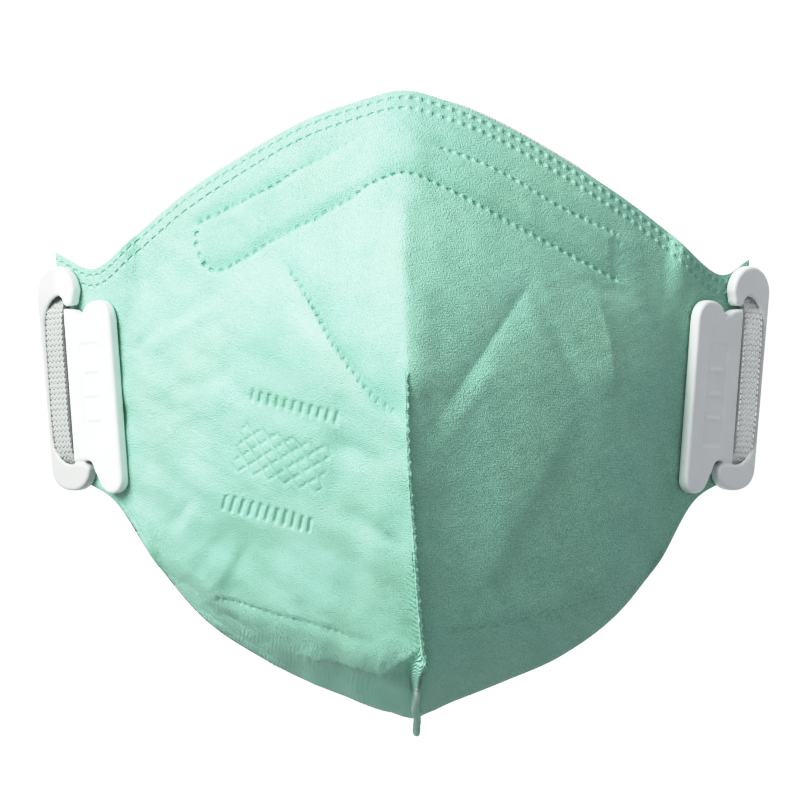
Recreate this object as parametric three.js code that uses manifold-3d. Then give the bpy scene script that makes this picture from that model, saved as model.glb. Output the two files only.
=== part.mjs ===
// Disposable respirator of the flat-fold kind, opened out and lying dome up on its two side tabs.
//
// Millimetres. +Z is up, away from the wearer's face. +Y points to the nose edge and -Y to the chin.
// "Left" and "right" are as seen from the front of the mask, so the right half lies at +X.
// The body is one folded sheet: two cheeks that meet at a centre line, which is a soft fold above the
// mouth and a welded fin below it. Each side ends in a flat tab, and a buckle is riveted to each tab.

import * as THREE from "three";
import { mergeVertices } from "three/addons/utils/BufferGeometryUtils.js";
import Module from "manifold-3d";

const wasm = await Module();
wasm.setup();

// ---- Driving sizes ----

const SHELL_WALL = 1.2;
const LINING_WALL = 1.0;
const CLEARANCE = 0.3;

// The side tab lies in a plane that falls outward at TAB_TILT and leans inward towards the chin.
const TAB_TILT = THREE.MathUtils.degToRad(45);
const TAB_LEAN = THREE.MathUtils.degToRad(4.2);
const TAB_BLEND = { from: -9, to: -2 };

// The buckle's own frame starts at the middle of its inner edge, on its back face.
const BUCKLE_ORIGIN = { x: 62.3, y: 8.9, z: 15.5 };
const RAIL_EDGE = { nose: 23.4, chin: 22.8 };
const BUCKLE_THICK = 2.8;
const EDGE_ROUND = 0.4;
const ROUND_SIDES = 20;
const CHANNEL = { inner: 15.4, outer: 21.6, floor: 0.9, low: -10.2, high: 10.2 };
const HOLLOW = { inner: 13.3, near: 11.5, far: 21.8, top: 2.1 };
const RIVET = { across: 8, along: [8.5, -13], radius: 1.6, head: 2.7, headThick: 1.0, play: 0.3 };

const ELASTIC = { width: 5.4, thick: 1.3 };

// A slab of this size, with its top at z = 0, stands for the surface that the part lies on.
const SURFACE = { reach: 200, deep: 20 };

// ---- Shape of the body ----

// Each half is drawn through sections that run from the nose edge to the chin edge. Columns: the share of
// the centre line's rise that the section keeps, and its two ends.
const SECTIONS = {
  right: [
    {
      spot: "centre", rise: 1,
      noseX: 0, noseY: 71.4, noseZ: 33,
      chinX: 0, chinY: -65.2, chinZ: 21,
    },
    {
      spot: "nostril", rise: 0.863,
      noseX: 10, noseY: 69.0, noseZ: 31.8,
      chinX: 9, chinY: -62.3, chinZ: 20.7,
    },
    {
      spot: "inner cheek", rise: 0.74,
      noseX: 21.1, noseY: 64.5, noseZ: 29,
      chinX: 20.5, chinY: -58.1, chinZ: 20,
    },
    {
      spot: "cheek", rise: 0.575,
      noseX: 34.3, noseY: 57.3, noseZ: 25,
      chinX: 33.5, chinY: -52.7, chinZ: 18.7,
    },
    {
      spot: "outer cheek", rise: 0.4,
      noseX: 47.8, noseY: 49.0, noseZ: 19.5,
      chinX: 46, chinY: -44.1, chinZ: 16.6,
    },
    {
      spot: "jaw", rise: 0.215,
      noseX: 58.6, noseY: 41.2, noseZ: 14.5,
      chinX: 56, chinY: -32.4, chinZ: 13.6,
    },
    {
      spot: "tab root", rise: 0.02,
      noseX: 70.2, noseY: 32.1, noseZ: 8.5,
      chinX: 64.6, chinY: -18.6, chinZ: 10.5,
    },
    {
      spot: "tab edge", rise: 0,
      noseX: 77.7, noseY: 35.5, noseZ: 2.5,
      chinX: 74.0, chinY: -13.4, chinZ: 2.5,
    },
  ],
  left: [
    {
      spot: "centre", rise: 1,
      noseX: 0, noseY: 71.4, noseZ: 33,
      chinX: 0, chinY: -65.2, chinZ: 21,
    },
    {
      spot: "nostril", rise: 0.863,
      noseX: 10, noseY: 69.1, noseZ: 31.6,
      chinX: 10.5, chinY: -62.9, chinZ: 20.7,
    },
    {
      spot: "inner cheek", rise: 0.74,
      noseX: 21.5, noseY: 65.1, noseZ: 29,
      chinX: 22, chinY: -58.5, chinZ: 20,
    },
    {
      spot: "cheek", rise: 0.575,
      noseX: 34.3, noseY: 58.2, noseZ: 25,
      chinX: 33.5, chinY: -52.4, chinZ: 18.7,
    },
    {
      spot: "outer cheek", rise: 0.4,
      noseX: 48.3, noseY: 49.4, noseZ: 19.2,
      chinX: 44.5, chinY: -44.7, chinZ: 16.8,
    },
    {
      spot: "jaw", rise: 0.215,
      noseX: 59.4, noseY: 40.4, noseZ: 13.8,
      chinX: 54.5, chinY: -33.0, chinZ: 13.8,
    },
    {
      spot: "tab root", rise: 0.02,
      noseX: 68.9, noseY: 33.3, noseZ: 8.5,
      chinX: 64.2, chinY: -18.7, chinZ: 10.5,
    },
    {
      spot: "tab edge", rise: 0,
      noseX: 78.3, noseY: 37.1, noseZ: 2.5,
      chinX: 74.0, chinY: -13.2, chinZ: 2.5,
    },
  ],
};
const LAST_SECTION = SECTIONS.right.length - 1;

// The centre line seen from the side, with its drift to one side and how softly the sheet is folded there.
const CENTRE_LINE = [
  { spot: "chin edge", y: -65.2, z: 21, drift: 3.4, fold: 0.05 },
  { spot: "under chin", y: -59.1, z: 33, drift: 3.8, fold: 0.05 },
  { spot: "chin break", y: -51.5, z: 44, drift: 4.0, fold: 0.08 },
  { spot: "chin", y: -38.7, z: 51.5, drift: 3.1, fold: 0.08 },
  { spot: "lip", y: -25.7, z: 57, drift: 2.2, fold: 0.08 },
  { spot: "mouth", y: -6.6, z: 61.5, drift: 1.0, fold: 0.08 },
  { spot: "seam top", y: 10.3, z: 62, drift: 0.7, fold: 0.1 },
  { spot: "bridge low", y: 29.5, z: 56, drift: 0.2, fold: 0.25 },
  { spot: "bridge", y: 46.9, z: 47, drift: 0, fold: 0.3 },
  { spot: "bridge high", y: 57.9, z: 41, drift: -0.2, fold: 0.4 },
  { spot: "nose edge", y: 71.4, z: 33, drift: -0.1, fold: 0.6 },
];

// Rows of the sheet: at fixed distances from the two edges, and evenly spread between them.
const NOSE_ROWS = [0, 2.6, 5.2, 8.4, 11.4, 15.2, 19];
const CHIN_ROWS = [10, 6.5, 3, 0];
const MIDDLE_ROWS = 10;
const COLUMNS = [0.3, 0.75, 1.2, 1.65, 2.1, 2.55, 3, 3.45, 3.9, 4.35, 4.8, 5.2, 5.55, 5.9, 6.25, 6.6, 7];
const LINING_LAST_COLUMN = 5.55;

// The pocket of the nose clip: a pad between two weld lines that follow the nose edge.
const CLIP_POCKET = { weldIn: 11.4, weldOut: 19, reach: 46, swell: 1.2, dent: 0.4 };

// A dart weld runs across each cheek: a groove with a pillow on its outer side.
const DARTS = {
  right: { from: { x: 27.2, y: 28.5 }, to: { x: 7.4, y: 0.5 } },
  left: { from: { x: 24.2, y: 31.3 }, to: { x: 2.2, y: 1.2 } },
};
const DART_SHAPE = { groove: 0.7, pillow: 1.1, pillowAt: 3.5, width: 3 };

// The fin where the halves are welded together, and the tail that it leaves below the chin edge.
const FIN = [
  { spot: "start", y: 9.5, height: 0.2, width: 1.2 },
  { spot: "full height", y: 3, height: 1.3, width: 1.4 },
  { spot: "mouth", y: -12, height: 1.5, width: 1.4 },
  { spot: "lip", y: -28, height: 1.6, width: 1.4 },
  { spot: "chin", y: -42, height: 1.8, width: 1.5 },
  { spot: "chin break", y: -51.5, height: 2.0, width: 1.6 },
  { spot: "under chin", y: -59.1, height: 2.4, width: 2.2 },
  { spot: "chin edge", y: -64.6, height: 2.2, width: 1.8 },
];
const TAIL = [
  { spot: "waist", x: 2.9, y: -67.0, z: 18.6, height: 1.2, width: 1.5 },
  { spot: "tip", x: 2.7, y: -69.8, z: 15.4, height: 1.2, width: 1.5 },
];
const FIN_ROOT = 0.8;

// ---- Routes of the two free straps, on edge on the surface, from the centre out to the right tab ----

const STRAP_HEIGHT = ELASTIC.width / 2 + 0.2;
const UPPER_ROUTE = [
  { x: 0, y: 60 },
  { x: 18, y: 57 },
  { x: 34, y: 50 },
  { x: 47, y: 41 },
  { x: 58, y: 33 },
];
const LOWER_ROUTE = [
  { x: 0, y: -54 },
  { x: 18, y: -49.5 },
  { x: 33, y: -39.5 },
  { x: 45, y: -27.5 },
  { x: 55.5, y: -16.5 },
];

// The elastic's way through the nose half of a buckle, in the buckle's frame, from behind the tab to the
// buckle's middle. Turn is how far its width has turned from the buckle's plane to upright. The chin half
// mirrors it.
const ELASTIC_HALF_ROUTE = [
  { across: 11.6, along: 19.6, up: -6.0, turn: 1 },
  { across: 13.5, along: 20.1, up: -4.2, turn: 0.8 },
  { across: 15.6, along: 20.2, up: -2.3, turn: 0.4 },
  { across: 17.8, along: 19.3, up: -0.3, turn: 0.1 },
  { across: 18.6, along: 17.5, up: 1.1, turn: 0 },
  { across: 18.6, along: 15.2, up: 2.0, turn: 0 },
  { across: 18.5, along: 12.2, up: 2.4, turn: 0 },
  { across: 18.5, along: 9.2, up: 2.6, turn: 0 },
  { across: 18.5, along: 4.6, up: 2.6, turn: 0 },
  { across: 18.5, along: 0, up: 2.6, turn: 0 },
];
const ELASTIC_ROUTE = [
  ...ELASTIC_HALF_ROUTE.map((row) => ({ ...row, along: -row.along })),
  ...ELASTIC_HALF_ROUTE.slice(0, -1).reverse(),
];
const ELASTIC_STEPS = 36;
const STRAP_STEPS = 26;
const STRAP_GAP = 1.1;
const SECTION_CHAMFER = 0.3;

// ---- Colours ----

const nonwoven = (color) => new THREE.MeshStandardMaterial({ color, roughness: 0.9, metalness: 0 });
const MATERIALS = {
  shell: () => nonwoven(0x8fdcc0),
  lining: () => nonwoven(0xeef0ec),
  buckle: () => new THREE.MeshStandardMaterial({ color: 0xf2f4f3, roughness: 0.4, metalness: 0 }),
  elastic: () => nonwoven(0xf4f5f2),
};

// ---- Small helpers ----

const lerp = THREE.MathUtils.lerp;
const smoothstep = THREE.MathUtils.smoothstep;
const bump = (distance, width) => Math.exp(-((distance / width) ** 2));

/** A smooth value of one column of a table whose rows rise in `key`. */
function columnAt(rows, key, column, at) {
  let i = 0;
  while (i < rows.length - 2 && at > rows[i + 1][key]) {
    i += 1;
  }
  const slope = (k) => {
    const before = rows[Math.max(k - 1, 0)];
    const after = rows[Math.min(k + 1, rows.length - 1)];
    return (after[column] - before[column]) / (after[key] - before[key]);
  };
  const span = rows[i + 1][key] - rows[i][key];
  const t = THREE.MathUtils.clamp((at - rows[i][key]) / span, 0, 1);
  const s = t * t * (3 - 2 * t);
  const ease = t * (1 - t);
  return (
    lerp(rows[i][column], rows[i + 1][column], s) +
    span * ease * ((1 - t) * slope(i) - t * slope(i + 1))
  );
}

/** The same table with its row number as a column. */
const numbered = (rows) => rows.map((row, number) => ({ ...row, number }));
const HALVES = { right: numbered(SECTIONS.right), left: numbered(SECTIONS.left) };

/** A half's table with its first section repeated beyond the centre, so its plan runs straight over. */
function mirroredTable(rows) {
  const beyond = { ...rows[1], noseX: -rows[1].noseX, chinX: -rows[1].chinX, number: -1 };
  return [beyond, ...rows];
}
const PLANS = { right: mirroredTable(HALVES.right), left: mirroredTable(HALVES.left) };
const sideSign = (side) => (side === "right" ? 1 : -1);

function toSolid(geometry) {
  const bare = geometry.clone();
  bare.deleteAttribute("normal");
  bare.deleteAttribute("uv");
  const merged = mergeVertices(bare, 1e-4);
  return new wasm.Manifold(
    new wasm.Mesh({
      numProp: 3,
      vertProperties: Float32Array.from(merged.attributes.position.array),
      triVerts: Uint32Array.from(merged.index.array),
    }),
  );
}

function toGeometry(solid) {
  const mesh = solid.getMesh();
  const geometry = new THREE.BufferGeometry();
  geometry.setAttribute("position", new THREE.BufferAttribute(mesh.vertProperties, 3));
  geometry.setIndex(new THREE.BufferAttribute(mesh.triVerts, 1));
  geometry.computeVertexNormals();
  return geometry;
}

function joined(geometries) {
  return geometries.map(toSolid).reduce((whole, piece) => whole.add(piece));
}

function namedMesh(name, geometry, material) {
  const mesh = new THREE.Mesh(geometry, material);
  mesh.name = name;
  return mesh;
}

// ---- The tab's plane, which is the buckle's frame as well ----

/** Matrix from the right buckle's frame (across, along, up from the tab) to the part's. */
function tabFrame() {
  const across = new THREE.Vector3(
    Math.cos(TAB_LEAN) * Math.cos(TAB_TILT),
    -Math.sin(TAB_LEAN) * Math.cos(TAB_TILT),
    -Math.sin(TAB_TILT),
  );
  const along = new THREE.Vector3(Math.sin(TAB_LEAN), Math.cos(TAB_LEAN), 0);
  const up = new THREE.Vector3().crossVectors(across, along);
  const frame = new THREE.Matrix4().makeBasis(across, along, up);
  frame.setPosition(BUCKLE_ORIGIN.x, BUCKLE_ORIGIN.y, BUCKLE_ORIGIN.z);
  return frame;
}
const TAB_FRAME = tabFrame();
const TO_TAB = TAB_FRAME.clone().invert();

/** Height of the tab's outer face above a place in plan, and how far outward of the buckle's edge it is. */
function tabPlaneAt(x, y) {
  const up = new THREE.Vector3().setFromMatrixColumn(TAB_FRAME, 2);
  const origin = new THREE.Vector3().setFromMatrixPosition(TAB_FRAME).addScaledVector(up, -CLEARANCE);
  const z = origin.z - (up.x * (x - origin.x) + up.y * (y - origin.y)) / up.z;
  const across = new THREE.Vector3(x, y, z).applyMatrix4(TO_TAB).x;
  return { z, across };
}

// ---- The body's outer face ----

/** Shares of a section's length at which the rows cross it. */
function rowShares(length) {
  const nose = NOSE_ROWS.map((d) => d / length);
  const chin = CHIN_ROWS.map((d) => 1 - d / length);
  const first = nose[nose.length - 1];
  const last = chin[0];
  const middle = [];
  for (let k = 1; k <= MIDDLE_ROWS; k += 1) {
    middle.push(lerp(first, last, k / (MIDDLE_ROWS + 1)));
  }
  return [...nose, ...middle, ...chin];
}

/** A point of the smooth body, before its dents: section 0 to 7, share 0 at the nose to 1 at the chin. */
function bodyPoint(side, section, share) {
  const rows = HALVES[side];
  const plan = (column) => columnAt(PLANS[side], "number", column, section);
  const y = lerp(plan("noseY"), plan("chinY"), share);
  const flatX = lerp(plan("noseX"), plan("chinX"), share);
  const centreY = lerp(rows[0].noseY, rows[0].chinY, share);
  const line = (column) => columnAt(CENTRE_LINE, "y", column, centreY);
  const rise = line("z") - lerp(rows[0].noseZ, rows[0].chinZ, share);
  const fold = line("fold");
  const rounded = Math.min(Math.sqrt(section ** 2 + fold ** 2) - fold, LAST_SECTION);
  const soft = (column) => columnAt(rows, "number", column, rounded);
  let z = lerp(soft("noseZ"), soft("chinZ"), share) + soft("rise") * rise;
  const plane = tabPlaneAt(flatX, y);
  z = lerp(z, plane.z, smoothstep(plane.across, TAB_BLEND.from, TAB_BLEND.to));
  const drift = line("drift") * (1 - section / LAST_SECTION) ** 2;
  return new THREE.Vector3(sideSign(side) * flatX + drift, y, z);
}

/** How far the sheet stands out (+) or is pressed in (-) at a place of one half. */
function relief(side, x, y, belowNose) {
  const pocket = CLIP_POCKET;
  const inside = 1 - smoothstep(x, pocket.reach - 2, pocket.reach + 2);
  const middle = (pocket.weldIn + pocket.weldOut) / 2;
  const half = (pocket.weldOut - pocket.weldIn) / 2;
  const pad = pocket.swell * bump(belowNose - middle, half * 0.75);
  const welds = bump(belowNose - pocket.weldIn, 1) + bump(belowNose - pocket.weldOut, 1);
  const dart = DARTS[side];
  const run = new THREE.Vector2(dart.to.x - dart.from.x, dart.to.y - dart.from.y);
  const reach = new THREE.Vector2(x - dart.from.x, y - dart.from.y);
  const along = reach.dot(run) / run.lengthSq();
  const off = run.cross(reach) / run.length();
  const ends = smoothstep(along, -0.1, 0.1) * (1 - smoothstep(along, 0.9, 1.1));
  const groove = -DART_SHAPE.groove * bump(off, DART_SHAPE.width / 2);
  const pillow = DART_SHAPE.pillow * bump(off + DART_SHAPE.pillowAt, DART_SHAPE.width);
  return inside * (pad - pocket.dent * welds) + ends * (groove + pillow);
}

/** The body's outer face as a grid of points, its columns running from the left tab's edge to the right. */
function outerGrid() {
  const stations = [
    ...COLUMNS.map((section) => ({ side: "left", section })).reverse(),
    { side: "right", section: 0 },
    ...COLUMNS.map((section) => ({ side: "right", section })),
  ];
  const columns = stations.map(({ side, section }) => {
    const nose = bodyPoint(side, section, 0);
    const chin = bodyPoint(side, section, 1);
    const length = Math.hypot(nose.x - chin.x, nose.y - chin.y);
    return rowShares(length).map((share) => ({
      side,
      belowNose: share * length,
      point: bodyPoint(side, section, share),
    }));
  });
  const rows = columns[0].map((_, r) => columns.map((column) => column[r]));
  const outward = gridNormals(rows.map((row) => row.map((cell) => cell.point)));
  return rows.map((row, r) =>
    row.map(({ side, belowNose, point }, c) => {
      const lift = relief(side, point.x * sideSign(side), point.y, belowNose);
      return point.clone().addScaledVector(outward[r][c].normal, lift);
    }),
  );
}

/** Outward unit normal at each point of a grid, with the stretch that keeps an offset's wall thickness. */
function gridNormals(grid) {
  const facet = (a, b, c) =>
    new THREE.Vector3().crossVectors(b.clone().sub(a), c.clone().sub(a)).normalize();
  return grid.map((row, r) =>
    row.map((point, c) => {
      const up = grid[r - 1]?.[c];
      const down = grid[r + 1]?.[c];
      const before = row[c - 1];
      const after = row[c + 1];
      const facets = [
        [after, up],
        [up, before],
        [before, down],
        [down, after],
      ]
        .filter(([a, b]) => a && b)
        .map(([a, b]) => facet(point, a, b));
      const normal = facets.reduce((sum, f) => sum.add(f), new THREE.Vector3()).normalize();
      const worst = Math.min(...facets.map((f) => f.dot(normal)));
      return { normal, stretch: 1 / Math.max(worst, 0.75) };
    }),
  );
}

/** The grid moved inward, which keeps the distance at folds as well. */
function offsetGrid(grid, distance) {
  const outward = gridNormals(grid);
  return grid.map((row, r) =>
    row.map((point, c) => {
      const { normal, stretch } = outward[r][c];
      return point.clone().addScaledVector(normal, -distance * stretch);
    }),
  );
}

/** A closed sheet between an outer and an inner grid. */
function sheetGeometry(outer, inner) {
  const rows = outer.length;
  const columns = outer[0].length;
  const points = [...outer.flat(), ...inner.flat()];
  const front = (r, c) => r * columns + c;
  const back = (r, c) => rows * columns + r * columns + c;
  const index = [];
  const quad = (a, b, c, d) => index.push(a, b, c, a, c, d);
  for (let r = 0; r + 1 < rows; r += 1) {
    for (let c = 0; c + 1 < columns; c += 1) {
      quad(front(r, c), front(r + 1, c), front(r + 1, c + 1), front(r, c + 1));
      quad(back(r, c), back(r, c + 1), back(r + 1, c + 1), back(r + 1, c));
    }
  }
  for (let c = 0; c + 1 < columns; c += 1) {
    quad(front(0, c), front(0, c + 1), back(0, c + 1), back(0, c));
    quad(front(rows - 1, c + 1), front(rows - 1, c), back(rows - 1, c), back(rows - 1, c + 1));
  }
  for (let r = 0; r + 1 < rows; r += 1) {
    quad(front(r + 1, 0), front(r, 0), back(r, 0), back(r + 1, 0));
    quad(front(r, columns - 1), front(r + 1, columns - 1), back(r + 1, columns - 1), back(r, columns - 1));
  }
  const geometry = new THREE.BufferGeometry().setFromPoints(points);
  geometry.setIndex(index);
  return geometry;
}

// ---- The fin and its tail ----

/** A closed solid lofted through rings of equal point count. */
function loftGeometry(rings) {
  const sides = rings[0].length;
  const index = [];
  for (let k = 0; k + 1 < rings.length; k += 1) {
    for (let i = 0; i < sides; i += 1) {
      const j = (i + 1) % sides;
      const a = k * sides;
      const b = (k + 1) * sides;
      index.push(a + i, a + j, b + j, a + i, b + j, b + i);
    }
  }
  const last = (rings.length - 1) * sides;
  for (let i = 1; i + 1 < sides; i += 1) {
    index.push(0, i + 1, i, last, last + i, last + i + 1);
  }
  const geometry = new THREE.BufferGeometry().setFromPoints(rings.flat());
  geometry.setIndex(index);
  return geometry;
}

function finGeometry() {
  const { noseY, chinY } = SECTIONS.right[0];
  const shareAt = (y) => (noseY - y) / (noseY - chinY);
  const onBody = FIN.map((row) => ({ ...row, root: bodyPoint("right", 0, shareAt(row.y)) }));
  const below = TAIL.map((row) => ({ ...row, root: new THREE.Vector3(row.x, row.y, row.z) }));
  const stations = [...onBody, ...below];
  const rings = stations.map((station, k) => {
    const before = stations[Math.max(k - 1, 0)].root;
    const after = stations[Math.min(k + 1, stations.length - 1)].root;
    const run = after.clone().sub(before).normalize();
    const wide = new THREE.Vector3(1, 0, 0);
    const out = new THREE.Vector3().crossVectors(run, wide).normalize();
    const half = station.width / 2;
    const corner = (x, up) => station.root.clone().addScaledVector(wide, x).addScaledVector(out, up);
    const { height } = station;
    return [
      corner(-half, -FIN_ROOT),
      corner(half, -FIN_ROOT),
      corner(half, height * 0.6),
      corner(half * 0.5, height),
      corner(-half * 0.5, height),
      corner(-half, height * 0.6),
    ];
  });
  return loftGeometry(rings);
}

// ---- Tools that are cut from the tab ----

/** A geometry made in the right buckle's frame, placed on one side. */
function onTab(geometry, side) {
  const placed = geometry.clone().applyMatrix4(TAB_FRAME);
  if (side === "right") {
    return placed;
  }
  return mirrored(placed);
}

/** The mirror image across the YZ plane, with its faces still pointing out. */
function mirrored(geometry) {
  const flat = geometry.index ? geometry.toNonIndexed() : geometry.clone();
  flat.scale(-1, 1, 1);
  const position = flat.attributes.position;
  for (let k = 0; k < position.count; k += 3) {
    const first = new THREE.Vector3().fromBufferAttribute(position, k);
    const last = new THREE.Vector3().fromBufferAttribute(position, k + 2);
    position.setXYZ(k, last.x, last.y, last.z);
    position.setXYZ(k + 2, first.x, first.y, first.z);
  }
  return flat;
}

function boxBetween(low, high) {
  const box = new THREE.BoxGeometry(high.x - low.x, high.y - low.y, high.z - low.z);
  box.translate((low.x + high.x) / 2, (low.y + high.y) / 2, (low.z + high.z) / 2);
  return box;
}

function rodUp(radius, low, high, across, along) {
  const rod = new THREE.CylinderGeometry(radius, radius, high - low, ROUND_SIDES);
  rod.rotateX(Math.PI / 2);
  rod.translate(across, along, (low + high) / 2);
  return rod;
}

// ---- Outer shell ----

/** Where the elastic passes round the tab: a notch in its edge near each end of the buckle. */
const NOTCHES = [
  { low: 17.4, high: 21.7 },
  { low: -21.7, high: -17.4 },
];
const NOTCH_DEPTH_AT = 11.8;
const CUT_REACH = 6;

function tabCuts(side) {
  const bore = RIVET.radius + RIVET.play;
  const holes = RIVET.along.map((along) => rodUp(bore, -CUT_REACH, CUT_REACH, RIVET.across, along));
  const notches = NOTCHES.map(({ low, high }) =>
    boxBetween(
      new THREE.Vector3(NOTCH_DEPTH_AT, low, -CUT_REACH),
      new THREE.Vector3(RAIL_EDGE.nose + CUT_REACH, high, CUT_REACH),
    ),
  );
  return joined([...holes, ...notches].map((tool) => onTab(tool, side)));
}

function shellGeometry(outer) {
  const body = toSolid(sheetGeometry(outer, offsetGrid(outer, SHELL_WALL)));
  const withFin = body.add(toSolid(finGeometry()));
  return toGeometry(withFin.subtract(tabCuts("right")).subtract(tabCuts("left")));
}

// ---- Inner lining ----

function liningGeometry(outer) {
  const skipped = COLUMNS.filter((section) => section > LINING_LAST_COLUMN).length;
  const near = offsetGrid(outer, SHELL_WALL + CLEARANCE);
  const far = offsetGrid(outer, SHELL_WALL + CLEARANCE + LINING_WALL);
  const trimmed = (grid) => grid.map((row) => row.slice(skipped, row.length - skipped));
  return sheetGeometry(trimmed(near), trimmed(far));
}

// ---- Buckles ----

function plateShape() {
  const shape = new THREE.Shape();
  shape.moveTo(0, -22.2);
  shape.lineTo(0, 12.6);
  shape.bezierCurveTo(0, 15.6, 1.6, 17.6, 4.4, 17.6);
  shape.bezierCurveTo(7.2, 17.6, 8.4, 16.4, 9.5, 14.4);
  shape.lineTo(12.4, 16.0);
  shape.lineTo(CHANNEL.inner, 16.5);
  shape.lineTo(CHANNEL.inner, -17.8);
  shape.lineTo(11.2, -17.8);
  shape.bezierCurveTo(8.6, -17.8, 9.2, -20.2, 7.9, -21.4);
  shape.bezierCurveTo(6.8, -24.6, 5.0, -25.4, 3.4, -25.4);
  shape.bezierCurveTo(1.4, -25.4, 0, -24.2, 0, -22.2);
  return shape;
}

function railShape() {
  const shape = new THREE.Shape();
  shape.moveTo(RAIL_EDGE.chin, -19.0);
  shape.lineTo(RAIL_EDGE.nose, 20.1);
  shape.absarc(RAIL_EDGE.nose - 6, 20.1, 6, 0, Math.PI, false);
  shape.lineTo(12, 18.5);
  shape.absarc(13.75, 18.5, 1.75, Math.PI, Math.PI * 2, false);
  shape.lineTo(16.5, 19.4);
  shape.bezierCurveTo(19, 19, 21, 17, CHANNEL.outer, 13.6);
  shape.lineTo(CHANNEL.outer, -12.8);
  shape.bezierCurveTo(21, -16, 19, -18.2, 16.3, -18.3);
  shape.lineTo(12.6, -18.3);
  shape.bezierCurveTo(11, -18.4, 10.5, -19.4, 10.5, -20.0);
  shape.bezierCurveTo(10.8, -22.8, 13.4, -24.3, 16.2, -24.3);
  shape.bezierCurveTo(20.2, -24.3, 22.8, -22.3, RAIL_EDGE.chin, -19.0);
  return shape;
}

function moulded(shape) {
  const plate = new THREE.ExtrudeGeometry(shape, {
    depth: BUCKLE_THICK - 2 * EDGE_ROUND,
    bevelEnabled: true,
    bevelThickness: EDGE_ROUND,
    bevelSize: EDGE_ROUND,
    bevelOffset: -EDGE_ROUND,
    bevelSegments: 1,
    curveSegments: 6,
  });
  plate.translate(0, 0, EDGE_ROUND);
  return plate;
}

/** Rivet head: a low dome formed on the far side of the tab. */
function rivetHead(along) {
  const top = -(CLEARANCE + SHELL_WALL + CLEARANCE);
  const profile = [
    new THREE.Vector2(0, top),
    new THREE.Vector2(RIVET.head, top),
    new THREE.Vector2(RIVET.head, top - RIVET.headThick * 0.4),
    new THREE.Vector2(RIVET.head * 0.6, top - RIVET.headThick),
    new THREE.Vector2(0, top - RIVET.headThick),
  ].reverse();
  const head = new THREE.LatheGeometry(profile, ROUND_SIDES);
  head.rotateX(Math.PI / 2);
  head.translate(RIVET.across, along, 0);
  return head;
}

/** Hollow under each hooked end, where the elastic dips behind the buckle. */
function hookHollow(low, high) {
  return boxBetween(
    new THREE.Vector3(HOLLOW.inner, low, -1),
    new THREE.Vector3(CHANNEL.outer, high, HOLLOW.top),
  );
}

/** What lies below the surface that the part rests on: each buckle's low corner is cut flat by it. */
function restingSlab() {
  const { reach, deep } = SURFACE;
  return boxBetween(new THREE.Vector3(-reach, -reach, -deep), new THREE.Vector3(reach, reach, 0));
}

function buckleGeometry(side) {
  const floor = boxBetween(
    new THREE.Vector3(CHANNEL.inner - 1, CHANNEL.low, 0),
    new THREE.Vector3(CHANNEL.outer + 0.5, CHANNEL.high, CHANNEL.floor),
  );
  const rail = toSolid(moulded(railShape()))
    .subtract(toSolid(hookHollow(HOLLOW.near, HOLLOW.far)))
    .subtract(toSolid(hookHollow(-HOLLOW.far, -HOLLOW.near)));
  const rivets = RIVET.along.flatMap((along) => [
    rodUp(RIVET.radius, -(CLEARANCE * 2 + SHELL_WALL + 0.4), BUCKLE_THICK / 2, RIVET.across, along),
    rivetHead(along),
  ]);
  const whole = joined([moulded(plateShape()), floor, ...rivets]).add(rail);
  const placed = toSolid(onTab(toGeometry(whole), side)).subtract(
    toSolid(channelElasticGeometry(side, CLEARANCE)),
  );
  return toGeometry(placed.subtract(toSolid(restingSlab())));
}

// ---- Elastic ----

/** Flat band section with its corners taken off: width along x, thickness along y, grown by a margin. */
function bandSection(margin = 0) {
  const w = ELASTIC.width / 2 + margin;
  const t = ELASTIC.thick / 2 + margin;
  const k = SECTION_CHAMFER;
  return [
    new THREE.Vector2(w - k, -t),
    new THREE.Vector2(w, -t + k),
    new THREE.Vector2(w, t - k),
    new THREE.Vector2(w - k, t),
    new THREE.Vector2(-w + k, t),
    new THREE.Vector2(-w, t - k),
    new THREE.Vector2(-w, -t + k),
    new THREE.Vector2(-w + k, -t),
  ];
}

/** The elastic's centre line through the right buckle, in the part's frame. */
function elasticCurve() {
  const points = ELASTIC_ROUTE.map(({ across, along, up }) =>
    new THREE.Vector3(across, along, up).applyMatrix4(TAB_FRAME),
  );
  return new THREE.CatmullRomCurve3(points, false, "centripetal");
}

/** The elastic through one buckle, or with a margin the room that it needs there. */
function channelElasticGeometry(side, margin = 0) {
  const curve = elasticCurve();
  const turns = ELASTIC_ROUTE.map(({ turn }, number) => ({ turn, number }));
  const flat = new THREE.Vector3().setFromMatrixColumn(TAB_FRAME, 0);
  const upright = new THREE.Vector3(0, 0, -1);
  const rings = [];
  for (let k = 0; k <= ELASTIC_STEPS; k += 1) {
    const t = k / ELASTIC_STEPS;
    const turn = columnAt(turns, "number", "turn", t * (turns.length - 1));
    const run = curve.getTangent(t);
    const wide = flat.clone().lerp(upright, turn);
    wide.addScaledVector(run, -wide.dot(run)).normalize();
    const thick = new THREE.Vector3().crossVectors(run, wide);
    const centre = curve.getPoint(t);
    rings.push(
      bandSection(margin).map((p) => centre.clone().addScaledVector(wide, p.x).addScaledVector(thick, p.y)),
    );
  }
  const band = loftGeometry(rings);
  return side === "right" ? band : mirrored(band);
}

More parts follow.
